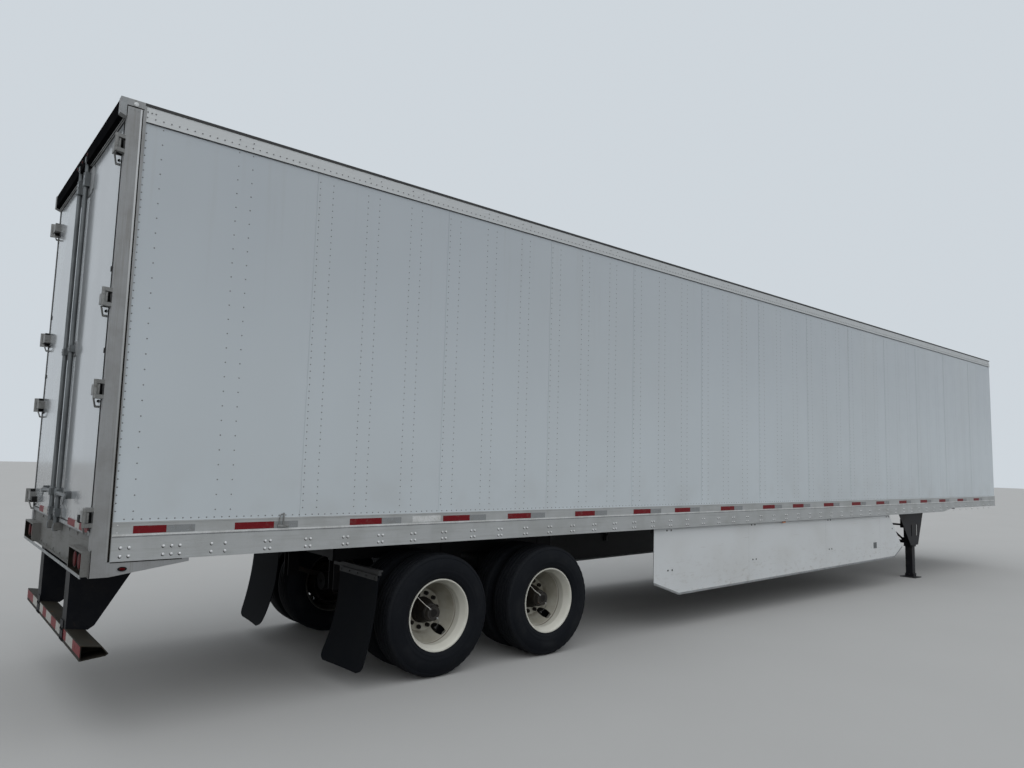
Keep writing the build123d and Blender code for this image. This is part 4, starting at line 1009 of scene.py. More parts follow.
def wheelForm(axle, side):
    form = Form()
    look = wheelWork

    def spin(profile, steps, x=axle.x, z=axle.z):  # turned about a line across the body, from the disc outwards
        form.turned([(side * reach, radius) for reach, radius in profile], (x, side * trackReach, z), 1, steps)

    def ringOfBolts(count, ring, shift, reach, radius, height):
        for step in range(count):
            x, z = polar(axle, ring, 2 * math.pi * (step + shift) / count)
            form.bolt((x, side * (trackReach + reach), z), 1, side, radius, height)

    for step in range(look["nuts"]):
        turn = math.pi / 2 - side * math.radians(look["nutTilt"]) + 2 * math.pi * step / look["nuts"]
        x, z = polar(axle, look["nutCircle"], turn)
        form.turned(look["washer"], (x, side * trackReach, z), 1, 16)
        spin(look["stud"], 10, x, z)
    spin(look["flange"], 40)
    ringOfBolts(*look["flangeBolts"])
    spin(look["nose"], 40)
    form.mark = 1
    spin(look["cap"], 40)
    ringOfBolts(*look["capBolts"])
    form.mark = 0
    spin(look["window"], 32)
    return form


# Each pipe: its turn from the top in degrees, where it ends from the axle and from the disc, radius, finish
pipeWork = ((45.0, 0.250, 0.120, 0.0035, 0), (219.0, 0.214, 0.030, 0.0027, 2))


def pipeForm(axle, side):
    form = Form()
    face = wheelWork["capFace"]
    for degrees, far, depth, thickness, mark in pipeWork:
        turn = math.pi / 2 - side * math.radians(degrees)
        path = []
        for radius, reach in ((0.056, face + 0.006), (0.074, face + 0.004), (0.105, face - 0.022),
                              ((far + 0.105) / 2, (face + depth) / 2), (far - 0.014, depth + 0.020), (far, depth)):
            x, z = polar(axle, radius, turn)
            path.append((x, side * (trackReach + reach), z))
        form.mark = mark
        form.tube(smoothPath(path), thickness, 8)
        form.mark = 1
        for radius, reach, width in ((far, depth, 0.0060), (0.056, face + 0.004, 0.0075)):
            x, z = polar(axle, radius, turn)
            collar = [(side * (reach + along), width) for along in (-0.012, 0.008)]
            form.turned(collar, (x, side * trackReach, z), 1, 10)
    return form


for end, axle in zip(("rear", "front"), axlePlaces):
    for name, side in sides:
        body = f"{end}_{name}_wheels"
        makePiece(f"{end}_{name}_hub_fittings", wheelForm(axle, side), ["hubIron", "capIron"], body)
        makePiece(f"{end}_{name}_inflation_pipes", pipeForm(axle, side), ["hoseLight", "couplingMetal", "stripGrey"],
                  body, smooth=60)
print("wheels dressed")


# Doors: edge seals, bottom trim and tape, hinge bolts and retainers, rubber buffers, rod fittings

doorWork = {
    "seal": {
        "out": 0.0065, "centre": 0.0030, "head": 0.0065, "foot": 0.0055, "depth": 0.035, "lip": 0.0045, "sunk": 0.0008,
    },
    "trim": {
        "heights": (1.2735, 1.3000), "ends": (0.0385, 0.0452), "reach": (0.012, 1.236), "rivets": (0.06, 1.2, 0.1524),
    },
    "tape": {
        "heights": (1.2860, 1.3300), "thickness": 0.0008, "front": 0.0455,
        "right": ((0.490, 0.760, 1), (0.760, 0.915, 2), (0.915, 1.190, 1)),
        "left": ((0.242, 0.429, 1), (0.429, 0.626, 2), (0.626, 0.850, 1)),
    },
    # spans across the body, then heights: the buffers' as they stand, the hinges' from each hinge
    "buffer": {"depth": 0.044, "foot": 0.006, "rubber": ((1.038, 1.100), (1.344, 1.391)),
               "plate": ((1.030, 1.108), (1.338, 1.397))},
    "hinges": (1.390, 2.190, 2.780, 3.800),
    "strapBolts": ((1.166, -0.020), (1.166, 0.020), (1.202, -0.020), (1.202, 0.020)),
    "retainer": ((0.003, 1.214, -0.050), (0.021, 1.186, -0.108)), "retainerBolt": (1.158, -0.070),
    "retainerFoot": ((1.180, 1.192), (-0.114, -0.100)),
    "strapShadow": ((1.2235, 1.2385), (-0.058, 0.058)), "cheek": ((1.2930, 1.3005), (-0.0335, 0.0335)),
    # centre: a painted shadow strip on each door beside the gap between them
    "centre": (0.014, 0.066),
    "clip": (1.205, 1.233), "clips": ((2.429, 2.461), (2.964, 2.996)),
}


def sealForm(side):
    form = Form()
    look = doorWork["seal"]
    low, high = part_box("left_door_panel")
    ends = (low.x - look["lip"] * 0.5, low.x + look["depth"])
    foot, head = low.z - look["foot"], high.z + look["head"]
    inner, outer, sunk = low.y - look["centre"], high.y + look["out"], look["sunk"]
    for reach, heights in (((high.y - sunk, outer), (foot, head)), ((inner, low.y + sunk), (foot, head)),
                           ((inner, outer), (high.z - sunk, head)), ((inner, outer), (foot, low.z + sunk))):
        form.slab(side, ends, reach, heights)
    corners = [(low.y + 0.006, low.z + 0.004), (high.y - 0.004, low.z + 0.004),
               (high.y - 0.004, high.z - 0.004), (low.y + 0.006, high.z - 0.004)]
    corners = [(low.x, side * reach, height) for reach, height in corners]
    for start, end in zip(corners, corners[1:] + corners[:1]):
        form.tube([start, end], look["lip"], 8)
    return form


def doorTrimForm(name, side):
    form = Form()
    trim, tape = doorWork["trim"], doorWork["tape"]
    form.slab(side, run(*trim["ends"]), trim["reach"], trim["heights"])
    rear = forward(trim["ends"][0])
    places = [(rear, side * reach, trim["heights"][0] + 0.006) for reach in spaced(*trim["rivets"])]
    form.domes(places, (-1, 0, 0), smallRivets, 8)
    for first, last, mark in tape[name]:
        form.mark = mark
        form.slab(side, (rear - tape["thickness"], forward(tape["front"])), (first, last), tape["heights"])
    return form


def doorFittings(side):
    form = Form()
    look, buffer = doorWork, doorWork["buffer"]
    face, plate = run(doorStation, -0.001)

    def part(stations, spans, hinge=0.0):
        reach, heights = spans
        form.slab(side, stations, reach, [hinge + height for height in heights])

    form.mark = 0  # black rubber
    part((face - buffer["depth"], face - buffer["foot"]), buffer["rubber"])
    form.mark = 1  # worn metal
    part((face - buffer["foot"], face + 0.001), buffer["plate"])
    for hinge in look["hinges"]:
        for reach, rise in look["strapBolts"]:
            form.bolt((face - 0.0085, side * reach, hinge + rise), 0, -1, 0.0075, 0.0065)
        form.tube([(forward(place), side * reach, hinge + rise) for place, reach, rise in look["retainer"]], 0.0060, 10)
        part((plate + 0.020, face + 0.0005), look["retainerFoot"], hinge)
        form.mark = 2
        reach, rise = look["retainerBolt"]
        form.bolt((face - 0.0005, side * reach, hinge + rise), 0, -1, 0.0085, 0.010)
        form.mark = 0  # painted shadow: a black block beside the strap, and a cheek on its barrel
        part((forward(0.0085), face + 0.0005), look["strapShadow"], hinge)
        form.mark = 1
        part(run(0.0060, 0.0200), look["cheek"], hinge)
    form.mark = 0
    # painted shadow: a dark strip beside the gap between the doors
    low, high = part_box("left_door_panel")
    part((face - 0.0012, face + 0.0005), (look["centre"], (low.z + 0.002, high.z - 0.002)))
    form.mark = 2
    for heights in look["clips"]:
        part((face - 0.007, face + 0.0005), (look["clip"], heights))
    return form


rodWork = {
    "reach": 0.130, "station": 0.020, "hub": 1.485, "catch": 0.345,
    "plates": ((3.752, 3.968, 0.145, 0.030), (2.500, 2.620, 0.055, 0.0), (1.296, 1.395, 0.060, 0.0)),
    "guides": ((3.880, 0.110), (2.560, 0.050), (1.340, 0.060)), "cams": ((1.216, 1.262), (4.002, 4.040)),
    "camPlan": ((-0.016, -0.023), (0.012, -0.023), (0.012, 0.023), (-0.004, 0.023), (-0.016, 0.006)),
    "caps": (1.205, 4.058),
    "grip": ((0.020, 0.0), (0.120, 0.0), (0.240, -0.004), (0.330, -0.010), (0.392, -0.012)),
}


def roundedPlate(y, low, high, half):
    middle, corner = (low + high) / 2, min(half, (high - low) / 2) * 0.6
    outline = []
    for cy, cz, start in ((half - corner, high - corner, 0), (-half + corner, high - corner, 1),
                          (-half + corner, low + corner, 2), (half - corner, low + corner, 3)):
        turns = [math.pi / 2 * (start + step / 4) for step in range(5)]
        outline += [(y + cy + corner * math.cos(turn), cz + corner * math.sin(turn)) for turn in turns]
    return outline


def rodFittings(side):
    form = Form()
    look = rodWork
    x, bar, face = run(look["station"], 0.002, doorStation)
    form.mark = 0  # pale backing plates with rounded ends
    for low, high, half, shift in look["plates"]:
        y = side * (look["reach"] + shift)
        form.prism(roundedPlate(y, low, high, half), 0, face - 0.004, face + 0.0005)
        for dy in (-half + 0.014, half - 0.014):
            for dz in (low + 0.016, high - 0.016):
                form.bolt((face - 0.004, y + dy, dz), 0, -1, 0.0065, 0.0055)
    y = side * look["reach"]
    form.mark = 1
    for height, length in look["guides"]:  # collars over the guides
        for end in (height - length / 2 + 0.007, height + length / 2 - 0.007):
            form.disc((x, y, end), 2, 0.006, 0.0235, 20)
        for dy in (-0.029, 0.029):
            form.bolt((bar, y + dy, height), 0, -1, 0.0068, 0.0035)
    for levels in look["cams"]:
        form.loft([[(x + dx, y + dy, level) for dx, dy in look["camPlan"]] for level in levels])
    for level in look["caps"]:
        form.turned(((-0.001, 0.0125), (0.0018, 0.0125)), (x, y, level), 2, 16)
    # handle: hub, rounded grip with a lip, its catch and the loop for a padlock
    hub = look["hub"]
    form.turned(((-0.030, 0.0245), (-0.026, 0.0265), (0.026, 0.0265), (0.030, 0.0245)), (x, y, hub), 2, 20)
    grip = [(bar + 0.004, y + side * reach, hub + rise) for reach, rise in look["grip"]]
    form.tube(smoothPath(grip), 0.0085, 10)
    form.disc(grip[-1], 2, 0.014, 0.0105, 14)
    catch = y + side * look["catch"]
    form.box((bar - 0.004, catch - 0.020, hub - 0.044), (bar + 0.003, catch + 0.020, hub - 0.020))
    ring = [(bar - 0.003, catch + 0.012 * c, hub - 0.050 + 0.014 * s) for c, s in circlePoints(12)]
    form.tube(ring + ring[:1], 0.0032, 6)
    for dy in (-0.0264, 0.0264):
        form.bolt((face - 0.0005, catch + dy, hub + 0.020), 0, -1, 0.0055, 0.005)
    return form


for name, side in sides:
    body = f"{name}_door"
    makePiece(f"{name}_door_seal", sealForm(side), ["sealRubberAndShade"], body)
    makePiece(f"{name}_door_trim", doorTrimForm(name, side), ["stripGrey", "tapeRed", "tapeWhite"], body)
    makePiece(f"{name}_door_fittings", doorFittings(side), ["sealRubberAndShade", "hingeMetal", "darkFitting"], body,
              bevel=0.0012)
    makePiece(f"{name}_rod_fittings", rodFittings(side), ["stripGrey", "rodGalvanised"], body,
              bevel=0.0009)
print("doors dressed")


# Lamps: lenses in rubber rings, in the boxes, on the caps and header and along the rails

lampWork = {
    "face": 1.300,
    "tail": {
        "station": 0.030, "reach": (1.130, 0.980), "height": 1.106, "radius": 0.050, "ring": 0.057, "depth": 0.016,
    },
    "cap": {"station": 0.091, "height": 4.084, "radius": 0.0155, "depth": 0.0078},
    "header": {"station": 0.004, "reach": (-0.2, 0.0, 0.2), "height": 4.058, "radius": 0.0155, "depth": 0.0075},
    "side": {"station": 0.230, "height": 1.066, "half": (0.0245, 0.0125), "depth": 0.0075},
    "oval": ((1, ((0.0, 1.12), (0.5, 1.12), (0.68, 1.04), (0.68, 0.7))),  # finish, shares of the depth and the width
             (0, ((0.0, 0.68), (0.8, 0.68), (0.95, 0.58), (1.0, 0.40)))),
    "middle": {"station": 8.120, "half": 0.035, "height": (1.0952, 1.1125), "reach": (1.285, 1.2995)},
}


def lensProfile(radius, ring, depth, way):  # rubber ring first, then the lens inside it
    rubberRing = ((0.0, ring), (depth * 0.45, ring), (depth * 0.62, ring * 0.97), (depth * 0.62, radius))
    lens = ((0.0, radius * 0.98), (depth * 0.78, radius * 0.98), (depth * 0.94, radius * 0.9), (depth, radius * 0.62))
    return [[(way * reach, wide) for reach, wide in profile] for profile in (rubberRing, lens)]


def lampForm(side):
    form = Form()
    tail, cap, small, middle = lampWork["tail"], lampWork["cap"], lampWork["side"], lampWork["middle"]
    profiles = lensProfile(tail["radius"], tail["ring"], tail["depth"], -1)
    for reach in tail["reach"]:
        form.lens((forward(tail["station"]), side * reach, tail["height"]), 0, profiles, (1, 0), 40)
    profiles = lensProfile(cap["radius"] * 0.8, cap["radius"], cap["depth"], side)
    face = lampWork["face"]
    form.lens((forward(cap["station"]), side * face, cap["height"]), 1, profiles, (2, 0), 24)
    x, z, (wide, high) = forward(small["station"]), small["height"], small["half"]
    for mark, profile in lampWork["oval"]:
        form.mark = mark
        form.loft([[(x + wide * share * c, side * (face + small["depth"] * depth), z + high * share * s)
                    for c, s in circlePoints(28)] for depth, share in profile])
    x, half, (inner, outer) = forward(middle["station"]), middle["half"], middle["reach"]
    low, high = middle["height"]
    form.mark = 1
    form.slab(side, (x - half, x + half), (inner, outer), (high - 0.006, high))
    form.mark = 0
    form.slab(side, (x - half + 0.004, x + half - 0.004), (inner + 0.001, outer - 0.001), (low, high - 0.005))
    return form


def headerLampForm():
    form = Form()
    look = lampWork["header"]
    profiles = lensProfile(look["radius"] * 0.8, look["radius"], look["depth"], -1)
    for reach in look["reach"]:
        form.lens((forward(look["station"]), reach, look["height"]), 0, profiles, (1, 0), 24)
    return form


lampSet = Form()
for form in (lampForm(-1), lampForm(1), headerLampForm()):
    lampSet.join(form)
makePiece("lamp_set", lampSet, ["lampLens", "sealRubberAndShade", "trimBright"], "body", ("lamps",))
print("lamps made")


# Header lip, sill, impact guard and its tape

headerWork = {
    "lip": ((0.004, 4.004), (0.045, 3.985)), "strips": ((0.0305, 0.0345), (0.0385, 0.0425)), "proud": 0.0022,
    "runs": ((-1.240, -0.162), (-0.098, 0.098), (0.162, 1.240)), "rivetStation": 0.004, "rivetRow": 4.092,
}
lampBox = {"reach": (0.8605, 1.2795), "heights": (1.0405, 1.1715), "depth": 0.0297, "wall": 0.0012}
sillLipHighlight = {"station": (-0.0012, 0.0045), "reach": 1.285, "heights": (1.0196, 1.0385)}
sillWork = {"bolts": (1.246, 1.046), "pitch": 0.3048, "reach": 0.762, "web": 0.062}
guardWork = {
    "section": ((0.055, 0.500), (0.055, 0.597), (0.177, 0.578), (0.217, 0.528), (0.202, 0.515)),
    "hollow": ((0.061, 0.507), (0.061, 0.590), (0.173, 0.572), (0.208, 0.529), (0.199, 0.521)),
    "half": 1.187, "tape": (0.523, 0.588), "thickness": 0.0009, "plug": 0.160,
    "red": ((-1.187, -0.935), (-0.698, -0.590), (-0.285, -0.071), (0.160, 0.330), (0.860, 1.187)),
    "white": ((-0.935, -0.698), (-0.475, -0.285), (-0.071, 0.160), (0.330, 0.490), (0.640, 0.860)),
    "straps": (0.486, 0.588, 0.0485, 0.503, 0.640), "cheeks": ((0.500, 0.508), (0.642, 0.650)),
    "cheek": ((0.0555, 0.5955), (0.177, 0.5765), (0.192, 0.576), (0.228, 0.6005), (0.0555, 0.6005)),
}


def lipHeight(station):
    (firstStation, firstHeight), (lastStation, lastHeight) = headerWork["lip"]
    return firstHeight + (lastHeight - firstHeight) * (station - firstStation) / (lastStation - firstStation)


def rearFrameForm():
    form = Form()
    for first, last in headerWork["strips"]:
        profile = ((first, 0.001), (last, 0.001), (last, -headerWork["proud"]), (first, -headerWork["proud"]))
        outline = [(forward(station), lipHeight(station) + lift) for station, lift in profile]
        for ends in headerWork["runs"]:
            form.loft([[(x, reach, z) for x, z in outline] for reach in ends])
    form.mark = 1
    rear, row = forward(headerWork["rivetStation"]), headerWork["rivetRow"]
    form.domes([(rear, reach, row) for reach in spaced(-1.2, 1.2, 0.1)], (-1, 0, 0), smallRivets, 8)
    form.mark = 2
    for height in sillWork["bolts"]:
        for reach in spaced(-sillWork["reach"], sillWork["reach"], sillWork["pitch"]):
            form.bolt((forward(sillWork["web"]) + 0.0005, reach, height), 0, -1, 0.009, 0.007)
    form.mark = 3  # painted shade: the lamp boxes are black inside, the back, then the four walls
    (inner, outer), (low, high), wall = lampBox["reach"], lampBox["heights"], lampBox["wall"]
    rear, back = run(0.001, lampBox["depth"])
    walls = (((inner, outer), (low, high), back), ((inner, inner + wall), (low, high), rear),
             ((outer - wall, outer), (low, high), rear), ((inner, outer), (low, low + wall), rear),
             ((inner, outer), (high - wall, high), rear))
    for side in (-1, 1):
        for reach, heights, start in walls:
            form.slab(side, (start, back + 0.0004), reach, heights)
    # painted highlight: a pale strip along the sill's lower lip
    form.mark = 4
    form.slab(1, run(*sillLipHighlight["station"]), (-sillLipHighlight["reach"], sillLipHighlight["reach"]), sillLipHighlight["heights"])
    return form


def guardForm():
    form = Form()
    look = guardWork
    half, corners = look["half"], len(look["hollow"])
    section, hollow, cheek = [[(forward(x), z) for x, z in look[key]] for key in ("section", "hollow", "cheek")]
    rings = ((section, -half), (section, half), (hollow, half), (hollow, -half))
    form.loft([[(x, y, z) for x, z in outline] for outline, y in rings], loop=True)
    form.marks[2 * corners:3 * corners] = [3] * corners  # painted shade: the hollow is black inside
    rear = section[0][0]
    for mark, colour in ((1, "red"), (2, "white")):
        form.mark = mark
        for ends in look[colour]:
            form.slab(1, (rear - look["thickness"], rear + 0.001), ends, look["tape"])
    inner, outer, station, low, high = look["straps"]
    strap = forward(station)
    for side in (-1, 1):
        # painted shade: a black plug closing the hollow inside each end
        form.mark = 3
        form.prism(hollow, 1, *across(side, half - look["plug"], half - look["plug"] - 0.010))
        form.mark = 4  # strap and cheeks of the strut
        form.slab(side, (strap, rear + 0.001), (inner, outer), (low, high))
        for reach in look["cheeks"]:
            form.prism(cheek, 1, *across(side, *reach))
        for y in (0.512, 0.562):
            for z in (0.516, 0.582):
                form.bolt((strap + 0.0005, side * y, z), 0, -1, 0.008, 0.006)
    return form


makePiece("rear_frame_trim", rearFrameForm(), ["plateBlank", "headerBlack", "sillSteel", "shadeBlack", "stripGrey"],
          "body")
makePiece("guard_beam", guardForm(), ["guardSteel", "tapeRed", "tapeWhite", "shadeBlack", "strutBlack"], "body",
          ("impact_guard",))
print("rear frame dressed")


# Mud flaps with rounded lower corners and a slight curl, under a clamp bar with its bolts

flapLook = {
    "reach": (0.658, 1.298), "top": (2.070, 0.8797), "foot": 0.140, "thickness": 0.0075, "corner": 0.075, "hang": 0.014,
    "inner": (0.158, 2.5), "outer": (0.115, 1.95), "curl": 0.012, "rows": 30, "columns": 14,
    "barEnds": (2.074, 2.114), "barHeights": (0.9045, 0.9170), "bolts": (0.06, 0.28, 0.5, 0.72, 0.94),
}


def flapForm(side):
    form = Form()
    look = flapLook
    inner, outer = look["reach"]
    station, head = look["top"]
    columns, corner, half = look["columns"], look["corner"], look["thickness"] / 2
    rings = []
    for row in range(look["rows"] + 1):
        share = (row / look["rows"]) ** 0.8
        z = head - (head - look["foot"]) * share
        left = max(corner - (z - look["foot"]), 0.0) / corner
        inset = corner * (1 - math.sqrt(max(1 - left ** 2, 0.0)))
        order = [(1, column) for column in range(columns + 1)] + [(-1, column) for column in range(columns, -1, -1)]
        ring = []
        for way, column in order:
            part = column / columns
            y = inner + inset + (outer - inner - 2 * inset) * part
            bow = look["curl"] * math.sin(math.pi * part) * share ** 2 * 0.5
            drop, power = [first + (last - first) * part for first, last in zip(look["inner"], look["outer"])]
            x = station + look["hang"] * max(1 - share / 0.05, 0.0) - drop * share ** power
            ring.append((forward(x + bow + way * half), side * y, z))
        rings.append(ring)
    form.loft(rings)
    form.mark = 1
    top = forward(station)
    reach = (inner + 0.004, outer - 0.004)
    form.slab(side, (top - 0.0095, top - 0.0035), reach, (head - 0.040, head + 0.001))
    form.slab(side, run(*look["barEnds"]), reach, look["barHeights"])
    for part in look["bolts"]:
        form.bolt((top - 0.009, side * (inner + (outer - inner) * part), head - 0.020), 0, -1, 0.008, 0.007)
    return form


bothFlaps = flapForm(-1)
bothFlaps.mirrored()
makePiece("mud_flap_pair", bothFlaps, ["flapRubber", "hangerSteel"], "tandem", ("mud_flaps",))
print("mud flaps made")


# Tandem: bolts round the springs, radius rods, brake chamber clamps and their bolts

tandemWork = {
    "spring": 0.480, "bolt": {"spread": (0.062, 0.047), "radius": 0.0095, "heights": (-0.100, 0.165), "nut": 0.016},
    "plate": {"thickness": 0.014, "feet": (0.1205, -0.0765), "margin": (0.022, 0.020)},
    "rod": {"radius": 0.019, "reach": 0.560, "hanger": 0.600},
    "chamber": {"radius": 0.085, "reach": 0.320, "behind": 0.150, "length": 0.170, "clamps": (0.050, 0.122)},
}
bushing = ((-0.036, 0.034), (-0.030, 0.038), (0.030, 0.038), (0.036, 0.034))
clampBand = ((-0.011, 0.0860), (-0.008, 0.0900), (0.008, 0.0900), (0.011, 0.0860))


def tandemForm():
    form = Form()
    y = tandemWork["spring"]
    bolt, plate, rod, chamber = (tandemWork[key] for key in ("bolt", "plate", "rod", "chamber"))
    spread, half = bolt["spread"]
    wide, deep = spread + plate["margin"][0], half + plate["margin"][1]
    upper, lower = plate["feet"]
    for axle in axlePlaces:
        form.mark = 0
        for low in (upper, lower):
            foot = axle.z + low
            form.box((axle.x - wide, y - deep, foot), (axle.x + wide, y + deep, foot + plate["thickness"]))
        for dx in (-spread, spread):
            for dy in (-half, half):
                x = axle.x + dx
                form.tube([(x, y + dy, axle.z + height) for height in bolt["heights"]], bolt["radius"], 10)
                for level in (upper + plate["thickness"], lower - bolt["nut"]):
                    form.turned(((0, 0.0175), (bolt["nut"], 0.0175)), (x, y + dy, axle.z + level), 2, 6)
        form.mark = 1
        ends = [(axle.x + 0.060, y, axle.z + 0.010), (axle.x + rod["reach"] - 0.030, y, rod["hanger"] + 0.065)]
        form.tube(ends, rod["radius"], 14)
        for place in ends:
            form.turned(bushing, place, 1, 20)
    y = chamber["reach"]
    for axle in axlePlaces:
        x, z = axle.x - chamber["behind"], axle.z + chamber["radius"]
        form.mark = 2
        for back in chamber["clamps"]:
            form.turned(clampBand, (x - back, y, z), 0, 36)
        form.mark = 1
        form.bolt((x - chamber["length"] + 0.0005, y, z), 0, -1, 0.014, 0.018)
        for dz in (-0.042, 0.042):
            form.bolt((x - 0.0005, y, z + dz), 0, 1, 0.011, 0.012)
    form.mirrored()
    return form


makePiece("tandem_fittings", tandemForm(), ["springSteel", "axleBlack", "chamberBlack"], "tandem",
          bevel=0.0008)
print("tandem dressed")


# Air tank between the frame rails, on two bands under its own cross channel

tankWork = {
    "station": 4.000, "height": 0.745, "radius": 0.138, "half": 0.400, "dome": 0.055, "bands": 0.230,
    "channel": {"reach": (-0.440, 0.440), "heights": (0.906, 0.946), "half": 0.040}, "drain": 0.150,
    "ports": ((0.040, 0.050), (-0.045, 0.020)),
}
tankPort = ((0.0, 0.013), (0.016, 0.013), (0.018, 0.009), (0.034, 0.009))


def tankForm():
    form = Form()
    look, channel = tankWork, tankWork["channel"]
    x, z, radius, half, deep = forward(look["station"]), look["height"], look["radius"], look["half"], look["dome"]
    turns = [math.pi / 2 * step / 7 for step in range(7)]
    dome = [(half - deep + deep * math.sin(turn), radius * math.cos(turn)) for turn in turns]
    form.turned([(-reach, wide) for reach, wide in reversed(dome)] + dome, (x, 0.0, z), 1, 40)
    form.mark = 1
    form.slab(1, (x - channel["half"], x + channel["half"]), channel["reach"], channel["heights"])
    inner, outer = radius - 0.002, radius + 0.003
    band = ((-0.018, inner), (-0.018, outer), (0.018, outer), (0.018, inner))
    for y in (-look["bands"], look["bands"]):
        form.turned(band, (x, y, z), 1, 40, loop=True)
        form.box((x - 0.034, y - 0.022, z + radius - 0.010), (x + 0.034, y + 0.022, channel["heights"][0] + 0.001))
    form.turned(((-0.012, 0.009), (0.0, 0.012), (0.006, 0.012)), (x, look["drain"], z - radius - 0.002), 2, 6)
    for dx, dz in look["ports"]:
        form.turned(tankPort, (x + dx, half - 0.014, z + dz), 1, 12)
    return form


makePiece("air_tank", tankForm(), ["chamberBlack", "frameBlack"], "tandem", bevel=0.0008)
print("air tank hung")


# Landing gear: gearbox, bolts of the wings, braces to the crossmembers and the crank's handle

legWork = {
    "reach": 1.030, "half": 0.070, "wingBolts": (-0.50, -0.36, -0.20, 0.10, 0.30), "wingHeight": 1.105,
    "brace": {"foot": (-0.075, 0.010, 0.640), "head": (-0.900, 0.180, 1.140), "radius": 0.017},
    "gearbox": {"low": 0.830, "high": 0.985, "depth": 0.060, "bolts": 0.040},
    "bands": (0.552, 0.528), "bandReach": (0.956, 1.104), "pin": (0.052, 0.062, 0.012),
}
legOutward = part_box("landing_legs")[1].y - 0.0575
crankLow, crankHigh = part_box("landing_crank")
legX = (crankLow.x + crankHigh.x) / 2


def legForm(side):
    form = Form()
    look, box = legWork, legWork["gearbox"]
    for dx in look["wingBolts"]:
        form.bolt((legX + dx, side * legOutward, look["wingHeight"]), 1, side, 0.011, 0.009)
    inner = look["reach"] - look["half"]
    ends = [(legX + dx, side * (inner - inward), z) for dx, inward, z in (look["brace"]["foot"], look["brace"]["head"])]
    form.tube(ends, look["brace"]["radius"], 14)
    for place in ends:
        form.disc(place, 1, 0.014, 0.030, 18)
    low, high, depth = box["low"], box["high"], box["depth"]
    outline = [(legX + dx, z) for dx, z in (
        (-0.055, low), (0.055, low), (0.062, low + 0.030), (0.045, high), (-0.045, high), (-0.062, low + 0.030))]
    form.prism(outline, 1, *across(side, inner + 0.001, inner - depth))
    for dx in (-box["bolts"], box["bolts"]):
        for z in (low + 0.022, high - 0.022):
            form.bolt((legX + dx, side * (inner - (depth - 0.0005)), z), 1, -side, 0.008, 0.007)
    for z in look["bands"]:  # at the end of the outer tube
        form.slab(side, (legX - 0.074, legX + 0.074), look["bandReach"], (z - 0.008, z + 0.008))
    form.mark = 1
    height, half, radius = look["pin"]
    form.disc((legX, side * look["reach"], height), 0, half, radius, 14)
    return form


# The crank's handle folds against the left leg and hangs in a hook
crankWork = {
    "elbow": ((0.0, 0.014), (0.012, 0.016), (0.040, 0.018)), "grip": ((0.036, 0.018), (0.058, 0.018)),
    "hook": ((0.020, 1.150, 0.700), (0.020, 1.205, 0.690), (0.004, 1.242, 0.700), (-0.010, 1.246, 0.715)),
    "hookFoot": ((0.008, 1.101, 0.680), (0.032, 1.154, 0.722)),
}
legPair = legForm(-1)
legPair.mirrored()
legPair.mark = 1
crankY = crankHigh.y - 0.006
elbow, grip = [[(legX, crankY + out, crankLow.z + rise) for out, rise in crankWork[key]] for key in ("elbow", "grip")]
hook, hookFoot = [[(legX + dx, y, z) for dx, y, z in crankWork[key]] for key in ("hook", "hookFoot")]
legPair.tube(smoothPath(elbow), 0.0085, 10)
legPair.tube(grip, 0.0125, 12)
legPair.tube(smoothPath(hook), 0.006, 8)
legPair.box(*hookFoot)
makePiece("landing_gear_fittings", legPair, ["legBlack", "crankSteel"], "body", bevel=0.001)
print("landing gear dressed")


# Skirts: grey foot strip, panel joints, bolts into the brackets and a blank plate

skirtWork = {
    "outline": ((5.500, 0.512), (5.940, 0.365), (11.530, 0.432), (11.830, 0.577)), "strip": 0.022, "face": 1.256,
    "joints": (7.350, 9.300, 11.020), "spread": 0.075, "single": (11.467, 0.887), "radius": 0.0105, "height": 0.0055,
    "bolts": ((5.724, 1.083), (5.745, 0.645), (7.412, 1.087), (7.437, 0.658), (9.368, 1.087), (9.393, 0.677),
              (11.260, 1.080)),
    "plate": ((10.790, 10.903), (0.610, 0.700), 0.008),
}


def footHeight(station):
    points = skirtWork["outline"]
    for (first, low), (last, high) in zip(points, points[1:]):
        if first <= station <= last:
            return low + (high - low) * (station - first) / (last - first)
    return points[-1][1]


def skirtForm(side):
    form = Form()
    look = skirtWork
    face, strip = look["face"], look["strip"]
    for (first, low), (last, high) in zip(look["outline"], look["outline"][1:]):
        outline = ((first, low - 0.0005), (last, high - 0.0005), (last, high + strip), (first, low + strip))
        form.plate(side, outline, (face - 0.008, face + 0.0012))
    form.mark = 1
    thin = (face - 0.001, face + 0.0004)
    for joint in look["joints"]:
        x = forward(joint)
        form.slab(side, (x - 0.0006, x + 0.0006), thin, (footHeight(joint) + strip, railFoot - 0.004))
    form.mark = 2
    places = [(station + ahead, height) for station, height in look["bolts"] for ahead in (0.0, look["spread"])]
    places.append(look["single"])
    form.domes([(forward(station), side * face, height) for station, height in places], (0, side, 0), look, 12)
    (first, last), (low, high), margin = look["plate"]
    form.mark = 3
    form.slab(side, run(first, last), thin, (low, high))
    places = [(x, side * face, z) for x in run(first + margin, last - margin) for z in (low + margin, high - margin)]
    form.domes(places, (0, side, 0), smallRivets, 8)
    return form


for name, side in sides:
    makePiece(f"{name}_skirt_trim", skirtForm(side), ["stripGrey", "plateBlank", "darkFitting", "rodGalvanised"],
              "body")
print("skirts dressed")


# Nose: rivet columns, a cover strip on each seam, amber lamps at the corners and a document box

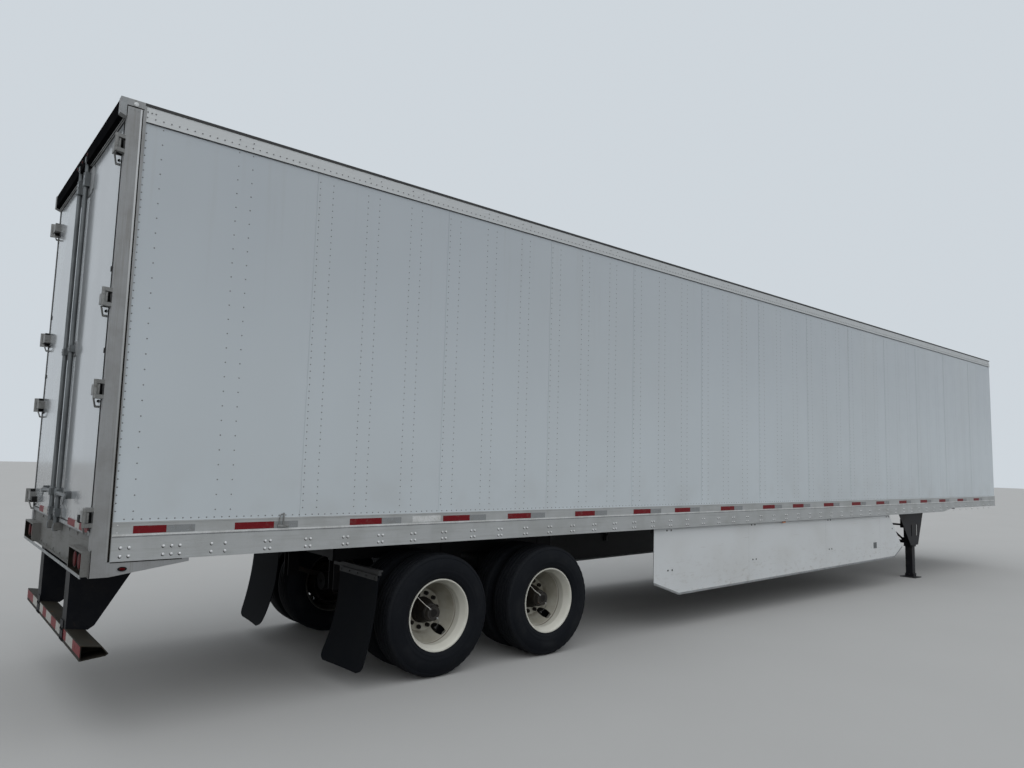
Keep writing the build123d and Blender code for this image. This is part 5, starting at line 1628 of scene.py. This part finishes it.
noseWork = {
    "seams": (-0.820, 0.0, 0.820),
    "columns": (-1.180, -0.845, -0.795, -0.410, -0.025, 0.025, 0.410, 0.795, 0.845, 1.180),
    "foot": 1.430, "head": 3.960, "pitch": 0.0762, "stripHalf": 0.022, "rail": (1.215, 1.305),
    "railRivets": (-1.23, 1.23, 0.1016), "lamps": (-1.120, 1.120), "lampHeight": 4.040,
    "documentBox": (-0.330, -0.110, 1.640, 1.900),
}
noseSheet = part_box("front_wall")[1].x


def noseForm():
    form = Form()
    look, face, half = noseWork, noseSheet, noseWork["stripHalf"]
    heights = spaced(look["foot"], look["head"], look["pitch"])
    # the nose's rivets, dark with dirt and painted shade
    places = [(face - 0.0002, y, z) for y in look["columns"] for z in heights]
    form.domes(places, (1, 0, 0), sheetRivets, 6, low=True)
    form.mark = 1
    for seam in look["seams"]:
        form.box((face - 0.001, seam - half, look["foot"] - 0.040), (face + 0.0016, seam + half, look["head"] + 0.030))
    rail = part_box("front_rail")[1].x
    places = [(rail, y, z) for y in spaced(*look["railRivets"]) for z in look["rail"]]
    form.domes(places, (1, 0, 0), railRivets, 10)
    low, high, foot, head = look["documentBox"]
    form.mark = 2
    form.box((face - 0.001, low, foot), (face + 0.048, high, head))
    form.mark = 3  # its lid, catch and hinges
    form.box((face + 0.046, low - 0.006, head - 0.012), (face + 0.0575, high + 0.006, head + 0.012))
    form.bolt((face + 0.0475, (low + high) / 2, foot + 0.060), 0, 1, 0.010, 0.008)
    for y in (low + 0.035, high - 0.035):
        form.tube([(face + 0.052, y - 0.022, head + 0.010), (face + 0.052, y + 0.022, head + 0.010)], 0.006, 8)
    return form


def noseLampForm():
    form = Form()
    profiles = lensProfile(0.026, 0.032, 0.016, 1)
    for reach in noseWork["lamps"]:
        form.lens((noseSheet - 0.001, reach, noseWork["lampHeight"]), 0, profiles, (1, 0), 28)
    return form


makePiece("nose_trim", noseForm(), ["rivetDirtAndShade", "railAluminium", "plateBlank", "rodGalvanised"], "body",
          smooth=50)
makePiece("nose_lamps", noseLampForm(), ["lampAmber", "sealRubberAndShade"], "body")


# Roof: a rivet row along each edge and across each bow

roofWork = {
    "edge": 1.262, "edgeEnds": (0.20, 15.95), "pitch": 0.1524, "bowEnds": (0.60, 15.90), "bowPitch": 1.2192,
    "acrossReach": 1.2, "acrossPitch": 0.2032, "radius": 0.0050, "height": 0.0016,
}


def roofForm():
    form = Form()
    look = roofWork
    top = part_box("roof")[1].z - 0.0016
    stations = spaced(*look["edgeEnds"], look["pitch"])
    places = [(forward(station), side * look["edge"], top) for station in stations for side in (-1, 1)]
    reaches = spaced(-look["acrossReach"], look["acrossReach"], look["acrossPitch"])
    places += [(forward(station), y, top) for station in spaced(*look["bowEnds"], look["bowPitch"]) for y in reaches]
    form.domes(places, (0, 0, 1), look, 7)
    return form


makePiece("roof_rivets", roofForm(), ["rivetAluminium"], "body", smooth=60)
print("nose and roof dressed")


# Load space: posts on a pale lining and a steel scuff band at the foot

innerWork = {
    "posts": (0.32, 15.85, 0.6096), "postHalf": 0.022, "proud": 0.0035, "heights": (1.560, 4.050),
    "rowHeights": (1.70, 2.20, 2.70, 3.20, 3.70),
    "scuff": {"ends": (0.160, 16.02), "heights": (1.2905, 1.552), "proud": 0.0022, "rivets": (0.24, 15.9, 0.1524),
              "rows": (1.315, 1.530)},
}


def liningForm(side):
    form = Form()
    look, scuff, half = innerWork, innerWork["scuff"], innerWork["postHalf"]
    posts, proud = run(*spaced(*look["posts"])), liningFace - look["proud"]
    for x in posts:
        form.slab(side, (x - half, x + half), (liningFace + 0.001, proud), look["heights"])
    form.mark = 1
    face = liningFace - scuff["proud"]
    form.slab(side, run(*scuff["ends"]), (liningFace + 0.001, face), scuff["heights"])
    places = [(x, side * face, z) for x in run(*spaced(*scuff["rivets"])) for z in scuff["rows"]]
    form.domes(places, (0, -side, 0), smallRivets, 6)
    form.mark = 0
    form.domes([(x, side * proud, z) for x in posts for z in look["rowHeights"]], (0, -side, 0), smallRivets, 6)
    return form


for name, side in sides:
    makePiece(f"{name}_lining", liningForm(side), ["liningWhite", "plateBlank"], "body")
print("load space dressed")


# Floor, light and background

stageLook = {
    "floorSize": 200.0, "floorTone": (0.42, 0.415, 0.405), "floorDrift": (0.395, 0.39, 0.38),
    "floorBounce": (0.09, 0.09, 0.086), "skyTone": (0.90, 0.95, 1.0), "skyStrength": 0.80,
    "backTone": (0.62, 0.67, 0.715), "backStrength": 1.0,
    "sun": {"power": 1.02, "softness": 100.0, "from": (-0.35, -0.55, 0.9)},
}


def makeSun():
    look = stageLook["sun"]
    lamp = bpy.data.lights.new("softSun", "SUN")
    lamp.energy = look["power"]
    lamp.angle = math.radians(look["softness"])
    holder = bpy.data.objects.new("softSun", lamp)
    bpy.context.scene.collection.objects.link(holder)
    holder.rotation_mode = "QUATERNION"
    holder.rotation_quaternion = Vector(look["from"]).to_track_quat("Z", "Y")


def makeFloor():
    f = Finish("floorPaper")
    path = f.tree.nodes.new("ShaderNodeLightPath")
    seen = Wire(f, path.outputs["Is Camera Ray"]).most(Wire(f, path.outputs["Is Glossy Ray"]))
    seen = seen.most(Wire(f, path.outputs["Is Transmission Ray"]))
    tone = f.mix(f.grain(0.6, 3.0), stageLook["floorTone"], stageLook["floorDrift"])
    colour = f.mix(seen, stageLook["floorBounce"], tone)
    paper = f.set({"Base Color": colour, "Roughness": 0.9, "Specular IOR Level": 0.1})
    half = stageLook["floorSize"] / 2
    mesh = bpy.data.meshes.new("floor")
    mesh.from_pydata([(-half, -half, 0), (half, -half, 0), (half, half, 0), (-half, half, 0)], [], [(0, 1, 2, 3)])
    mesh.materials.append(paper)
    floor = bpy.data.objects.new("floor", mesh)
    bpy.context.scene.collection.objects.link(floor)


def makeSky():
    world = bpy.data.worlds.new("sky")
    bpy.context.scene.world = world
    world.use_nodes = True
    tree = world.node_tree
    light = tree.nodes["Background"]
    light.inputs["Color"].default_value = (*stageLook["skyTone"], 1.0)
    light.inputs["Strength"].default_value = stageLook["skyStrength"]
    back = tree.nodes.new("ShaderNodeBackground")
    back.inputs["Color"].default_value = (*stageLook["backTone"], 1.0)
    back.inputs["Strength"].default_value = stageLook["backStrength"]
    path = tree.nodes.new("ShaderNodeLightPath")
    seen = path.outputs["Is Camera Ray"]
    for name in ("Is Glossy Ray", "Is Transmission Ray"):
        both = tree.nodes.new("ShaderNodeMath")
        both.operation = "MAXIMUM"
        tree.links.new(seen, both.inputs[0])
        tree.links.new(path.outputs[name], both.inputs[1])
        seen = both.outputs[0]
    blend = tree.nodes.new("ShaderNodeMixShader")
    tree.links.new(seen, blend.inputs[0])
    tree.links.new(light.outputs[0], blend.inputs[1])
    tree.links.new(back.outputs[0], blend.inputs[2])
    tree.links.new(blend.outputs[0], tree.nodes["World Output"].inputs[0])


makeFloor()
makeSky()
makeSun()
bpy.context.scene.view_settings.view_transform = "Standard"
print("stage set")
